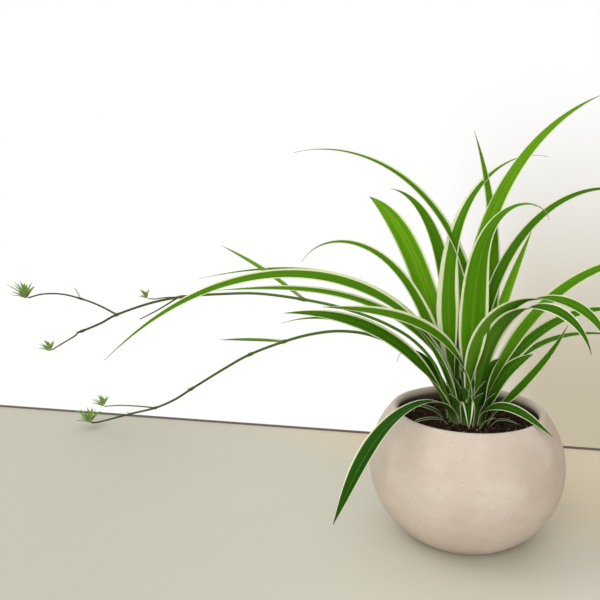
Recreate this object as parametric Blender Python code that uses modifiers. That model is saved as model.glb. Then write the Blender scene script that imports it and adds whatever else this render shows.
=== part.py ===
"""Potted spider plant: a round bowl of soil with a rosette of arching leaves and two runners.

The origin is the middle of the bowl's flat foot, +Z is up and the runners reach out towards -X.
Lengths are in metres and angles in degrees. Every leaf, runner and plantlet is its own solid.
"""
import math
from collections import namedtuple

import bmesh
import bpy
from mathutils import Quaternion, Vector, noise

# ---------------------------------------------------------------- driving dimensions
BOWL_RADIUS = 0.0725        # widest outside radius
BOWL_HALF_HEIGHT = 0.0665   # half height of the round that the bowl is cut from
BOWL_MIDDLE = 0.0560        # height of the widest ring
WALL = 0.0060
RIM_ANGLE = 51.5            # from straight up to the rim, along the round
FOOT_RADIUS = 0.0340
FOOT_HEIGHT = 0.0025
FOOT_ANGLE = 144.0          # where the round ends above the foot
FLOOR = 0.0090              # height of the bowl's inside floor
BOWL_STEPS = 32

SOIL_TOP = 0.0865
SOIL_BUMP = 0.0012
CLEARANCE = 0.0003

CROWN_RADIUS = 0.0170       # the ball whose top the leaves grow from
CROWN_MIDDLE = 0.0759
CROWN_NECK = 0.0139
CROWN_BOTTOM = 0.0680
CROWN_STEPS = 24
LEAF_SEAT_GAP = 0.0007      # from the ball to the middle of an outer blade's end
ROOT_DEPTH = 0.0025         # how far the heart leaves are sunk into the ball

BLADE_THICKNESS = 0.0007
BASE_WIDTH = 0.0050
TIP_WIDTH = 0.0009
BASE_FOLD = 38.0            # each half blade is raised by this much at the crown
BLADE_FOLD = 16.0           # and by this much further out
FOLD_OPENS = 0.35           # share of the length over which the fold opens
TWIST_ENDS = 0.40           # where the roll near the base is complete and the outer one starts
STATION_SPACING = 0.022

RUNNER_RADIUS = 0.0013
BRANCH_RADIUS = 0.0009
RUNNER_POINT_SPACING = 0.011

PLANTLET_CORE = 0.0022
PLANTLET_BLADE_THICKNESS = 0.0007

# Each leaf: x and y are its seat on the crown, heading the way it points (0 is +X, 90 is +Y),
# lean and droop its tilt from upright at the base and at the tip, bend how late it bends,
# twist the roll of the blade near its base, swing the turn of its heading, turn the further
# roll out to the tip, taper how late the blade narrows (1 is evenly) and widest the share of
# the length where it is widest.
Leaf = namedtuple("Leaf", "name x y heading lean droop bend length width twist swing "
                          "turn taper widest")

# These cross one another over the middle of the crown, so they are one solid with it.
HEART_LEAVES = [
    Leaf("leaf_top_1", -0.0050, 0.0065, 12, -10, 103, 2.8, 0.236, 0.0165, -55, 0, 50, 1, 0.35),
    Leaf("leaf_top_2", 0.0065, 0.0078, 20, 13, -23, 1.3, 0.214, 0.0100, -50, 0, 0, 2.2, 0.35),
    Leaf("leaf_top_3", 0.0045, 0.0015, 8, -6, 68, 1.8, 0.268, 0.0155, -30, 0, 0, 2, 0.35),
    Leaf("leaf_top_4", 0.0005, -0.0064, 350, 0, 170, 6, 0.192, 0.0210, -75, 0, 75, 2.2, 0.35),
    Leaf("leaf_top_5", 0.0070, 0.0075, 40, 12, 34, 0.7, 0.152, 0.009, -30, 0, 0, 2.2, 0.35),
    Leaf("leaf_left_1", 0.0005, 0.0002, 165, -6, 103, 1.6, 0.278, 0.0125, 30, 0, 0, 1.2, 0.35),
    Leaf("leaf_left_2", -0.0060, 0.0090, 135, 7, 86, 4, 0.194, 0.014, 30, 0, 0, 2.2, 0.35),
    Leaf("leaf_left_3", -0.0065, 0.0055, 122, 22, 72, 2.6, 0.201, 0.0190, 30, 0, 0, 4.5, 0.35),
    Leaf("leaf_left_4", -0.0080, 0.0025, 165, 17, 150, 3, 0.204, 0.0140, 35, 0, 0, 1, 0.35),
    Leaf("leaf_left_5", -0.0075, 0.0085, 155, 2, 103, 0.54, 0.281, 0.013, 20, 0, 0, 1.1, 0.35),
    Leaf("leaf_left_6", -0.0095, -0.0040, 186, 3, 133, 0.75, 0.330, 0.0120, 35, 0, 0, 1.7, 0.35),
    Leaf("leaf_left_7", -0.0105, 0.0000, 172, -4, 95, 0.5, 0.233, 0.0085, 35, 0, 0, 2.2, 0.35),
    Leaf("leaf_left_8", -0.0045, -0.0065, 195, -20, 84, 0.5, 0.165, 0.014, 35, 0, 0, 2.2, 0.35),
    Leaf("leaf_left_9", -0.0085, 0.0005, 180, 8, 50, 1.2, 0.088, 0.0135, 35, 0, 0, 2.2, 0.35),
    Leaf("leaf_right_1", 0.0075, 0.0025, 15, -2, 124, 1.8, 0.260, 0.010, -30, 0, 0, 1.5, 0.35),
    Leaf("leaf_right_3", 0.0025, -0.0100, 325, -9, 168, 1.65, 0.181, 0.0150, 50, 0, -125, 2.2, 0.35),
    Leaf("leaf_right_4", 0.0080, -0.0050, 306, -2, 164, 1.85, 0.166, 0.0140, 35, 0, -110, 2.2, 0.35),
    Leaf("leaf_right_9", 0.0095, -0.0058, 345, 0, 50, 2.9, 0.052, 0.0160, -30, 0, 0, 3.5, 0.35),
]

# These stand clear, each a solid of its own.
OUTER_LEAVES = [
    Leaf("leaf_left_10", -0.0120, -0.0036, 196, 20, 90, 1, 0.168, 0.0160, 40, 0, 0, 2.2, 0.35),
    Leaf("leaf_left_11", -0.0125, 0.0045, 158, 18, 109, 0.92, 0.169, 0.009, 15, 0, 0, 2.2, 0.35),
    Leaf("leaf_left_12", -0.0052, 0.0125, 132, 35, 185, 4, 0.082, 0.0075, 10, 15, 0, 2.2, 0.35),
    Leaf("leaf_left_13", -0.0100, -0.0080, 214, 21, 151, 0.45, 0.154, 0.017, -10, 0, 20, 1.6, 0.6),
    Leaf("leaf_right_2", 0.0103, 0.0006, 12, 16, 104, 1.35, 0.210, 0.0120, -30, 0, 0, 2.2, 0.35),
    Leaf("leaf_right_5", 0.0099, 0.0060, 24, 22, 111, 0.93, 0.190, 0.0120, -20, 0, 0, 2.2, 0.35),
    Leaf("leaf_right_6", 0.0100, 0.0088, 32, 24, 104, 0.4, 0.233, 0.0090, -10, 0, 0, 2.2, 0.35),
    Leaf("leaf_right_7", 0.0130, -0.0036, 350, 41, 20, 2.5, 0.095, 0.0085, -35, 0, 0, 2.2, 0.35),
    Leaf("leaf_right_8", 0.0141, 0.0014, 10, 0, 70, 1, 0.066, 0.0130, -30, 0, 0, 3.5, 0.35),
    Leaf("leaf_right_10", 0.0070, 0.0100, 52, 14, 42, 0.8, 0.052, 0.007, 0, 0, 0, 2.2, 0.35),
    Leaf("leaf_right_11", 0.0078, -0.0111, 318, -10, 119, 0.42, 0.069, 0.0095, -25, 0, 0, 2.2, 0.35),
    Leaf("leaf_front_1", -0.0045, -0.0130, 262, -8, 170, 1.2, 0.056, 0.0095, 0, 0, 0, 2.2, 0.35),
    Leaf("leaf_front_2", 0.0018, -0.0132, 330, 15, -60, 2, 0.027, 0.0070, 0, 0, 0, 2.2, 0.35),
    Leaf("leaf_front_3", 0.0045, -0.0130, 310, 45, 60, 1, 0.020, 0.005, 0, 0, 0, 2.2, 0.35),
    Leaf("leaf_small_1", -0.0115, -0.0072, 195, 55, 118, 1, 0.040, 0.005, 0, 0, 0, 2.2, 0.35),
    Leaf("leaf_small_2", 0.0120, -0.0066, 335, 50, 112, 1, 0.026, 0.005, 0, 0, 0, 2.2, 0.35),
    Leaf("leaf_small_3", -0.0138, 0.0004, 168, 48, 112, 1.5, 0.034, 0.008, 0, 0, 0, 2.2, 0.35),
    Leaf("leaf_back_1", 0.0036, 0.0125, 84, 20, 95, 1.6, 0.180, 0.014, 10, 0, 0, 2.2, 0.35),
    Leaf("leaf_back_2", -0.0010, 0.0130, 95, 32, 120, 1.2, 0.190, 0.014, -10, 0, 0, 2.2, 0.35),
]


def smooth(x):
    """Rise from 0 to 1 with a level start and end."""
    x = min(max(x, 0.0), 1.0)
    return x * x * (3 - 2 * x)


def blend(start, end, share):
    return start + (end - start) * share


# ---------------------------------------------------------------- scene, materials, helpers
def clear_scene():
    for item in list(bpy.data.objects):
        bpy.data.objects.remove(item, do_unlink=True)


def material(name, colour, roughness):
    made = bpy.data.materials.new(name)
    made.use_nodes = True
    shader = made.node_tree.nodes["Principled BSDF"]
    shader.inputs["Base Color"].default_value = (*colour, 1.0)
    shader.inputs["Roughness"].default_value = roughness
    shader.inputs["Metallic"].default_value = 0.0
    return made


def mesh_object(name, mesh, collection, surface=None):
    made = bpy.data.objects.new(name, mesh)
    collection.objects.link(made)
    if surface:
        mesh.materials.clear()
        mesh.materials.append(surface)
    return made


def applied(source, name, collection, surface=None):
    """Swap an object for a plain mesh of what it evaluates to, in world space and welded."""
    graph = bpy.context.evaluated_depsgraph_get()
    mesh = bpy.data.meshes.new_from_object(source.evaluated_get(graph))
    mesh.transform(source.matrix_world)
    bpy.data.objects.remove(source, do_unlink=True)
    shell = bmesh.new()
    shell.from_mesh(mesh)
    bmesh.ops.remove_doubles(shell, verts=shell.verts, dist=1e-6)
    bmesh.ops.recalc_face_normals(shell, faces=shell.faces)
    shell.to_mesh(mesh)
    shell.free()
    return mesh_object(name, mesh, collection, surface)


def turned(name, profile, steps, collection, surface):
    """Turn a profile of (radius, height) points, listed top to bottom, about the Z axis."""
    mesh = bpy.data.meshes.new(name)
    edges = [(i, i + 1) for i in range(len(profile) - 1)]
    mesh.from_pydata([(radius, 0.0, height) for radius, height in profile], edges, [])
    made = mesh_object(name, mesh, collection, surface)
    screw = made.modifiers.new("turn", "SCREW")
    screw.steps = steps
    screw.render_steps = steps
    screw.use_merge_vertices = True
    screw.merge_threshold = 0.00001
    return made


def joined(name, pieces, collection, surface):
    """Fuse pieces that grow together into one solid with a Boolean union."""
    body, rest = pieces[0], pieces[1:]
    tools = bpy.data.collections.new(name + "_pieces")
    bpy.context.scene.collection.children.link(tools)
    for piece in rest:
        for owner in list(piece.users_collection):
            owner.objects.unlink(piece)
        tools.objects.link(piece)
    union = body.modifiers.new("grown together", "BOOLEAN")
    union.operation = "UNION"
    union.operand_type = "COLLECTION"
    union.collection = tools
    union.solver = "MANIFOLD"
    result = applied(body, name, collection, surface)
    for piece in rest:
        bpy.data.objects.remove(piece, do_unlink=True)
    bpy.data.collections.remove(tools)
    return result


# ---------------------------------------------------------------- bowl, soil and crown
def round_point(angle, inset=0.0):
    """A point of the bowl's round at an angle from straight up, moved in along the normal."""
    turn = math.radians(angle)
    point = Vector((BOWL_RADIUS * math.sin(turn), BOWL_MIDDLE + BOWL_HALF_HEIGHT * math.cos(turn)))
    normal = Vector((math.sin(turn) / BOWL_RADIUS, math.cos(turn) / BOWL_HALF_HEIGHT)).normalized()
    return point - normal * inset


def inside_line(inset):
    """Points up the bowl's inside wall, from the floor to the rim."""
    angles = [blend(FOOT_ANGLE - 4.0, RIM_ANGLE, i / 8) for i in range(9)]
    return [round_point(angle, inset) for angle in angles]


def bowl(collection, surface):
    outer_rim = round_point(RIM_ANGLE)
    inner_rim = round_point(RIM_ANGLE, WALL)
    lip_middle = (outer_rim + inner_rim) / 2
    across = (outer_rim - inner_rim) / 2
    along = Vector((-across.y, across.x))
    lip = []
    for turn in (180, 135, 90, 45, 0):
        share = math.radians(turn)
        lip.append(lip_middle + across * math.cos(share) + along * math.sin(share))
    outside = [round_point(blend(RIM_ANGLE, FOOT_ANGLE, (i + 1) / 11)) for i in range(11)]
    foot = [Vector((FOOT_RADIUS + 0.0006, FOOT_HEIGHT)), Vector((FOOT_RADIUS, 0.0006)),
            Vector((FOOT_RADIUS - 0.0006, 0.0)), Vector((0.0, 0.0))]
    inside = inside_line(WALL)[:-1]
    floor = [Vector((0.0, FLOOR)), Vector((inside[0].x - 0.004, FLOOR))]
    profile = floor + inside + lip + outside + foot
    turned("bowl", [(p.x, p.y) for p in profile], BOWL_STEPS, collection, surface)


def soil(collection, surface):
    """Soil that fills the bowl, with an uneven top and a plain hole that the crown stands in."""
    hole = CROWN_NECK + CLEARANCE
    line = inside_line(WALL + CLEARANCE)
    below = [point for point in line if point.y < SOIL_TOP - 0.001]
    above = line[len(below)]
    edge = below[-1].lerp(above, (SOIL_TOP - below[-1].y) / (above.y - below[-1].y)).x
    rings = [blend(hole, edge, i / 5) for i in range(6)]
    profile = [(0.0, CROWN_BOTTOM - CLEARANCE), (hole, CROWN_BOTTOM - CLEARANCE)]
    profile += [(radius, SOIL_TOP) for radius in rings]
    profile += [(point.x, point.y) for point in reversed(below)]
    profile += [(below[0].x - 0.004, FLOOR + CLEARANCE), (0.0, FLOOR + CLEARANCE)]
    made = turned("soil", profile, BOWL_STEPS, collection, surface)
    made = applied(made, "soil", collection, surface)
    for vertex in made.data.vertices:
        radius = math.hypot(vertex.co.x, vertex.co.y)
        if abs(vertex.co.z - SOIL_TOP) < 1e-5 and radius < edge - 0.001:
            place = Vector((vertex.co.x, vertex.co.y, 0.0)) * 90
            vertex.co.z += SOIL_BUMP * noise.noise(place)
    return made


def crown(collection):
    """The short rootstock: a neck in the soil under a rounded top that the leaves ring."""
    start = math.degrees(math.asin(CROWN_NECK / CROWN_RADIUS))
    dome = []
    for i in range(7):
        turn = math.radians(blend(0.0, start, i / 6))
        dome.append((CROWN_RADIUS * math.sin(turn), CROWN_MIDDLE + CROWN_RADIUS * math.cos(turn)))
    neck = [(CROWN_NECK, CROWN_BOTTOM + 0.005), (CROWN_NECK - 0.004, CROWN_BOTTOM),
            (0.0, CROWN_BOTTOM)]
    return turned("crown", dome + neck, CROWN_STEPS, collection, None)


# ---------------------------------------------------------------- leaves
def bent(share, bend):
    """How much of its bend a leaf has made: late on for a bend above 1, early below it."""
    return share ** bend if bend >= 1 else 1 - (1 - share) ** (1 / bend)


def leaf_direction(leaf, share):
    """The tangent, the upper face's normal and the side direction at a share of the length."""
    tilt = math.radians(blend(leaf.lean, leaf.droop, bent(share, leaf.bend)))
    heading = math.radians(leaf.heading + leaf.swing * share ** 2)
    ahead = Vector((math.cos(heading), math.sin(heading), 0.0))
    up = Vector((0.0, 0.0, 1.0))
    tangent = ahead * math.sin(tilt) + up * math.cos(tilt)
    normal = up * math.sin(tilt) - ahead * math.cos(tilt)
    side = Vector((math.sin(heading), -math.cos(heading), 0.0))
    roll = math.radians(leaf.twist * smooth(share / TWIST_ENDS)
                        + leaf.turn * smooth((share - TWIST_ENDS) / (1 - TWIST_ENDS)))
    return (tangent, normal * math.cos(roll) - side * math.sin(roll),
            side * math.cos(roll) + normal * math.sin(roll))


def leaf_line(leaf, stations):
    """Points along the keel of a leaf: small steps along its tangent, from its seat."""
    reach = CROWN_RADIUS + LEAF_SEAT_GAP
    height = math.sqrt(reach ** 2 - leaf.x ** 2 - leaf.y ** 2)
    point = Vector((leaf.x, leaf.y, CROWN_MIDDLE + height))
    steps = 8
    line = [point.copy()]
    for i in range((stations - 1) * steps):
        share = (i + 0.5) / ((stations - 1) * steps)
        tangent, _, _ = leaf_direction(leaf, share)
        point = point + tangent * (leaf.length / ((stations - 1) * steps))
        if (i + 1) % steps == 0:
            line.append(point.copy())
    return line


def leaf_width(leaf, share):
    """Narrow at the crown, widest at a share of the length, then a taper to the tip."""
    base = min(BASE_WIDTH, 0.6 * leaf.width)
    taper = max(0.0, (share - leaf.widest) / (1 - leaf.widest))
    width = blend(base, leaf.width, smooth(share / leaf.widest)) * (1 - taper ** leaf.taper)
    return max(width, TIP_WIDTH)


def onto_crown(point, tangent, depth):
    """Slide a point along the blade to the crown: sunk by a depth, or just clear of it."""
    reach = CROWN_RADIUS + (LEAF_SEAT_GAP if depth == 0.0 else -depth)
    offset = point - Vector((0.0, 0.0, CROWN_MIDDLE))
    along = offset.dot(tangent)
    inside = along ** 2 - offset.length_squared + reach ** 2
    return point + tangent * (math.sqrt(max(inside, 0.0)) - along)


def leaf_blade(leaf, depth, collection, surface):
    """A folded strip of triangles along the keel, given its thickness by Solidify."""
    stations = max(8, round(leaf.length / STATION_SPACING) + 4)
    strip = bmesh.new()
    rows = []
    for i, keel in enumerate(leaf_line(leaf, stations)):
        share = i / (stations - 1)
        tangent, normal, side = leaf_direction(leaf, share)
        fold = math.radians(blend(BASE_FOLD, BLADE_FOLD, smooth(share / FOLD_OPENS)))
        half = leaf_width(leaf, share) / 2
        rise = normal * (half * math.sin(fold))
        reach = side * (half * math.cos(fold))
        points = [keel - reach + rise, keel, keel + reach + rise]
        if i == 0:
            points = [onto_crown(point, tangent, depth) for point in points]
        rows.append([strip.verts.new(point) for point in points])
    for near, far in zip(rows, rows[1:]):
        strip.faces.new((near[0], near[1], far[0]))
        strip.faces.new((near[1], far[1], far[0]))
        strip.faces.new((near[1], near[2], far[1]))
        strip.faces.new((near[2], far[2], far[1]))
    mesh = bpy.data.meshes.new(leaf.name)
    strip.to_mesh(mesh)
    strip.free()
    made = mesh_object(leaf.name, mesh, collection, surface)
    solid = made.modifiers.new("thickness", "SOLIDIFY")
    solid.thickness = BLADE_THICKNESS
    solid.offset = 0.0
    solid.use_even_offset = False
    return made


def heart(collection, surface):
    """The crown and the leaves that cross over it, grown together."""
    pieces = [crown(collection)]
    pieces += [leaf_blade(leaf, ROOT_DEPTH, collection, None) for leaf in HEART_LEAVES]
    joined("heart", pieces, collection, surface)


# ---------------------------------------------------------------- runners and plantlets
UPPER_STEM = [(-0.0090, 0.0105, 0.0905), (-0.0135, 0.0155, 0.105), (-0.022, 0.020, 0.126),
              (-0.037, 0.024, 0.143), (-0.056, 0.026, 0.155), (-0.080, 0.031, 0.164),
              (-0.110, 0.038, 0.171), (-0.155, 0.048, 0.176), (-0.190, 0.058, 0.174),
              (-0.222, 0.067, 0.170), (-0.250, 0.076, 0.163), (-0.281, 0.086, 0.151),
              (-0.297, 0.092, 0.142), (-0.3145, 0.098, 0.134), (-0.3195, 0.100, 0.132)]
UPPER_TIP = [(-0.3195, 0.100, 0.132), (-0.322, 0.101, 0.129), (-0.330, 0.103, 0.124),
             (-0.339, 0.106, 0.1185), (-0.3455, 0.1078, 0.1143)]
UPPER_BRANCH = [(-0.281, 0.086, 0.151), (-0.297, 0.091, 0.158), (-0.314, 0.096, 0.163),
                (-0.332, 0.101, 0.166), (-0.350, 0.106, 0.165), (-0.364, 0.110, 0.161)]
UPPER_STALK = [(-0.226, 0.068, 0.169), (-0.243, 0.074, 0.158), (-0.260, 0.080, 0.1485)]
UPPER_TWIG = [(-0.222, 0.067, 0.170), (-0.237, 0.0715, 0.1685), (-0.246, 0.076, 0.1665),
              (-0.2525, 0.0805, 0.166)]
UPPER_BRACT = ((-0.123, 0.041, 0.173), (-0.188, 0.060, 0.213), 0.0050)

LOWER_STEM = [(-0.0112, 0.0080, 0.0898), (-0.021, 0.0155, 0.115), (-0.041, 0.023, 0.134),
              (-0.068, 0.039, 0.144), (-0.092, 0.053, 0.1445), (-0.115, 0.066, 0.139),
              (-0.139, 0.080, 0.129), (-0.169, 0.098, 0.113), (-0.192, 0.111, 0.097),
              (-0.226, 0.131, 0.071), (-0.244, 0.1415, 0.057), (-0.266, 0.158, 0.043),
              (-0.296, 0.180, 0.029), (-0.324, 0.200, 0.0155), (-0.3375, 0.2105, 0.0090),
              (-0.346, 0.217, 0.0062)]
LOWER_BRANCH = [(-0.266, 0.158, 0.043), (-0.283, 0.168, 0.0412), (-0.3055, 0.180, 0.038),
                (-0.3235, 0.1893, 0.0338)]
LOWER_BRACT = ((-0.139, 0.080, 0.129), (-0.197, 0.114, 0.122), 0.0040)
BRACT_ROLL = 70.0           # a bract stands nearly on edge

Plantlet = namedtuple("Plantlet", "name centre facing blades length width")
PLANTLETS = [
    Plantlet("plantlet_upper_left", (-0.3662, 0.1106, 0.1602), 165, 9, 0.020, 0.0035),
    Plantlet("plantlet_upper_right", (-0.3475, 0.1084, 0.1130), 165, 7, 0.0135, 0.0035),
    Plantlet("plantlet_upper_small", (-0.2545, 0.0819, 0.1659), 165, 6, 0.011, 0.0030),
    Plantlet("plantlet_lower_back", (-0.3256, 0.1904, 0.0333), 150, 7, 0.0155, 0.0035),
    Plantlet("plantlet_lower_front", (-0.3479, 0.2184, 0.0057), 145, 9, 0.020, 0.0040),
]


def curve_points(route, spacing):
    """Evenly spaced points on a smooth curve through the route's points."""
    points = [Vector(point) for point in route]
    guides = [points[0] * 2 - points[1]] + points + [points[-1] * 2 - points[-2]]
    dense = [points[0]]
    for a, b, c, d in zip(guides, guides[1:], guides[2:], guides[3:]):
        for i in range(1, 13):
            t = i / 12
            dense.append(0.5 * (2 * b + (c - a) * t + (2 * a - 5 * b + 4 * c - d) * t ** 2
                                + (3 * b - a - 3 * c + d) * t ** 3))
    lengths = [(far - near).length for near, far in zip(dense, dense[1:])]
    count = max(2, round(sum(lengths) / spacing))
    target = sum(lengths) / count
    line = [dense[0]]
    walked = 0.0
    for far, step in zip(dense[1:], lengths):
        walked += step
        if walked >= target * len(line) - 1e-9 and len(line) < count:
            line.append(far)
    line.append(dense[-1])
    return line


def stem(name, route, thick, thin, collection):
    """A round stem along a route, tapering from one radius to the other."""
    curve = bpy.data.curves.new(name, "CURVE")
    curve.dimensions = "3D"
    curve.bevel_depth = thick
    curve.bevel_resolution = 1
    curve.use_fill_caps = True
    line = curve_points(route, RUNNER_POINT_SPACING)
    spline = curve.splines.new("POLY")
    spline.points.add(len(line) - 1)
    for i, point in enumerate(line):
        spline.points[i].co = (*point, 1.0)
        spline.points[i].radius = blend(1.0, thin / thick, i / (len(line) - 1))
    made = bpy.data.objects.new(name, curve)
    collection.objects.link(made)
    bpy.context.view_layer.update()
    return applied(made, name, collection)


def pointed_blade(name, start, end, width, thickness, collection, roll=0.0):
    """A small straight leaf from start to end, keeled along its middle."""
    start, end = Vector(start), Vector(end)
    tangent = (end - start).normalized()
    side = tangent.cross(Vector((0.0, 0.0, 1.0))).normalized()
    side.rotate(Quaternion(tangent, math.radians(roll)))
    normal = side.cross(tangent)
    strip = bmesh.new()
    rows = []
    for share, wide in ((0.0, 0.55), (0.3, 1.0), (0.65, 0.75), (1.0, 0.22)):
        keel = start.lerp(end, share)
        half = width * wide / 2
        lift = normal * (half * 0.3)
        rows.append([strip.verts.new(point) for point in
                     (keel - side * half + lift, keel, keel + side * half + lift)])
    for near, far in zip(rows, rows[1:]):
        strip.faces.new((near[0], near[1], far[0]))
        strip.faces.new((near[1], far[1], far[0]))
        strip.faces.new((near[1], near[2], far[1]))
        strip.faces.new((near[2], far[2], far[1]))
    mesh = bpy.data.meshes.new(name)
    strip.to_mesh(mesh)
    strip.free()
    made = mesh_object(name, mesh, collection)
    solid = made.modifiers.new("thickness", "SOLIDIFY")
    solid.thickness = thickness
    solid.offset = 0.0
    bpy.context.view_layer.update()
    return applied(made, name, collection)


def bract(name, placing, collection):
    start, end, width = placing
    return pointed_blade(name, start, end, width, BLADE_THICKNESS, collection, BRACT_ROLL)


def runners(collection, surface):
    upper = [stem("stem", UPPER_STEM, RUNNER_RADIUS, BRANCH_RADIUS, collection),
             stem("tip", UPPER_TIP, BRANCH_RADIUS, BRANCH_RADIUS, collection),
             stem("branch", UPPER_BRANCH, BRANCH_RADIUS, BRANCH_RADIUS, collection),
             stem("stalk", UPPER_STALK, BRANCH_RADIUS, BRANCH_RADIUS, collection),
             stem("twig", UPPER_TWIG, BRANCH_RADIUS, BRANCH_RADIUS, collection),
             bract("bract", UPPER_BRACT, collection)]
    joined("runner_upper", upper, collection, surface)
    lower = [stem("stem", LOWER_STEM, RUNNER_RADIUS, BRANCH_RADIUS, collection),
             stem("branch", LOWER_BRANCH, BRANCH_RADIUS, BRANCH_RADIUS, collection),
             bract("bract", LOWER_BRACT, collection)]
    joined("runner_lower", lower, collection, surface)


def plantlet(plan, collection, surface):
    """A small rosette: blades spread round a core that sits at the end of its runner."""
    centre = Vector(plan.centre)
    mesh = bpy.data.meshes.new(plan.name)
    ball = bmesh.new()
    bmesh.ops.create_uvsphere(ball, u_segments=8, v_segments=6, radius=PLANTLET_CORE)
    bmesh.ops.translate(ball, verts=ball.verts, vec=centre)
    ball.to_mesh(mesh)
    ball.free()
    pieces = [mesh_object(plan.name, mesh, collection)]
    for i in range(plan.blades):
        share = i / (plan.blades - 1)
        heading = math.radians(plan.facing + blend(-105, 105, share))
        tilt = math.radians(30 + 40 * ((i * 5) % 3) / 2)
        ahead = Vector((math.sin(tilt) * math.cos(heading), math.sin(tilt) * math.sin(heading),
                        math.cos(tilt)))
        length = plan.length * (0.75 + 0.25 * ((i * 7) % 4) / 3)
        start = centre + ahead * (PLANTLET_CORE * 0.3)
        pieces.append(pointed_blade("blade", start, centre + ahead * length, plan.width,
                                    PLANTLET_BLADE_THICKNESS, collection))
    joined(plan.name, pieces, collection, surface)


# ---------------------------------------------------------------- the whole plant
def main():
    clear_scene()
    collection = bpy.data.collections.new("potted_spider_plant")
    bpy.context.scene.collection.children.link(collection)
    clay = material("bowl_clay", (0.62, 0.49, 0.41), 0.85)
    earth = material("soil", (0.018, 0.011, 0.008), 0.95)
    bright = material("heart", (0.13, 0.31, 0.04), 0.45)
    green = material("leaf", (0.09, 0.27, 0.03), 0.45)
    stalk = material("runner", (0.05, 0.12, 0.03), 0.5)
    young = material("plantlet", (0.12, 0.26, 0.05), 0.5)
    bowl(collection, clay)
    soil(collection, earth)
    heart(collection, bright)
    for leaf in OUTER_LEAVES:
        leaf_blade(leaf, 0.0, collection, green)
    runners(collection, stalk)
    for plan in PLANTLETS:
        plantlet(plan, collection, young)


main()
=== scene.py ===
# %% [markdown]
# # A potted spider plant
#
# A striped spider plant, *Chlorophytum comosum*, grows in a round bowl of pale matte clay. Its
# leaves arch out of one crown, and two long thin runners carry young plants at their ends.
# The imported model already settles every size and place. This lesson gives each part its looks.
#
# Every piece is worked out with numpy as a surface over a grid of two numbers, and then put
# into a mesh in one go. Sculpting or a particle system could make leaves too, but a formula
# gives the same plant on each run, and one short table can steer dozens of leaves.

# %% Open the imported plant
import math
from collections import namedtuple

import bpy
import numpy as np
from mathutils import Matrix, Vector


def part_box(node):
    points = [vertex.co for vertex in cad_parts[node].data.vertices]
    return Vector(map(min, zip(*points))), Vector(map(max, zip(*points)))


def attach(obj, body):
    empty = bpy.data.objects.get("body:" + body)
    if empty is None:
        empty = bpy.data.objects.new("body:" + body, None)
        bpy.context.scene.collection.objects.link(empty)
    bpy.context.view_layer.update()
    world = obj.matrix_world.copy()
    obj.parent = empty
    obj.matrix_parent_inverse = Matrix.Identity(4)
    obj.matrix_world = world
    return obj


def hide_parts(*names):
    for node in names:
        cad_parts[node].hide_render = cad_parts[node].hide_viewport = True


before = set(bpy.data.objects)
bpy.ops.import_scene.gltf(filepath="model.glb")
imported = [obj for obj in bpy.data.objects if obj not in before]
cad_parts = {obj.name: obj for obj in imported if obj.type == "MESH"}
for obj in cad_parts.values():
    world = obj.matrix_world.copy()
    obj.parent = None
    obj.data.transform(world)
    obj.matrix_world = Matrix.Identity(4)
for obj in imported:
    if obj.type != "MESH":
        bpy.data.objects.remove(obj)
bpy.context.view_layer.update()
print("packed nodes to dress:", len(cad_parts))

# %% [markdown]
# ## Three small sums that everything uses
#
# Plants have no hard steps: a leaf widens slowly and its stripe fades out. An S-shaped step, a
# blend between two values and a way to bring vectors to length 1 cover nearly all of it.
# Blender has nodes and curves for the same sums, but here they are needed on arrays.

# %% Steps, blends and directions
def smooth(x):
    """Three times x squared less two times x cubed, with x held between 0 and 1."""
    x = np.clip(x, 0.0, 1.0)
    return x * x * (3 - 2 * x)


def blend(start, end, share):
    """The start plus a share of the way to the end."""
    return start + (end - start) * share


def unit(vectors):
    """Each vector divided by its own length."""
    return vectors / np.linalg.norm(vectors, axis=-1, keepdims=True)


print("half way up the soft step:", float(smooth(0.5)))

# %% [markdown]
# ## From a grid of points to an object
#
# A leaf, a stem and the bowl are all the same thing to the computer: rows of points, each row
# a closed ring, with four-sided faces between one row and the next. So one function makes the
# faces for all of them. Each point also carries marks, which are rows of three numbers that a
# material can read. They let a stripe follow a leaf round every bend, which a flat picture
# wrapped round it would not do.
#
# The finished object sits at the origin with its place in its mesh, rides on the plant and
# hides the plain solids that it stands for.

# %% Faces, shapes and pieces
BODY = "root"
Shape = namedtuple("Shape", "points faces marks")


def ring_faces(rows, columns):
    """Faces that join point c of ring r to its neighbour and to the same two of ring r + 1."""
    row, column = np.meshgrid(np.arange(rows - 1), np.arange(columns), indexing="ij")
    after = (column + 1) % columns
    return np.stack([row * columns + column, row * columns + after,
                     (row + 1) * columns + after, (row + 1) * columns + column],
                    axis=-1).reshape(-1, 4)


def merged(shapes):
    """All points in one list, with each shape's face numbers moved up past those before it."""
    starts = np.cumsum([0] + [len(shape.points) for shape in shapes[:-1]])
    marks = {label: np.concatenate([shape.marks[label] for shape in shapes])
             for label in shapes[0].marks}
    return Shape(np.concatenate([shape.points for shape in shapes]),
                 np.concatenate([shape.faces + start for shape, start in zip(shapes, starts)]),
                 marks)


def placed(name, data):
    """A new object with this data, linked into the scene."""
    made = bpy.data.objects.new(name, data)
    bpy.context.scene.collection.objects.link(made)
    return made


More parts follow.
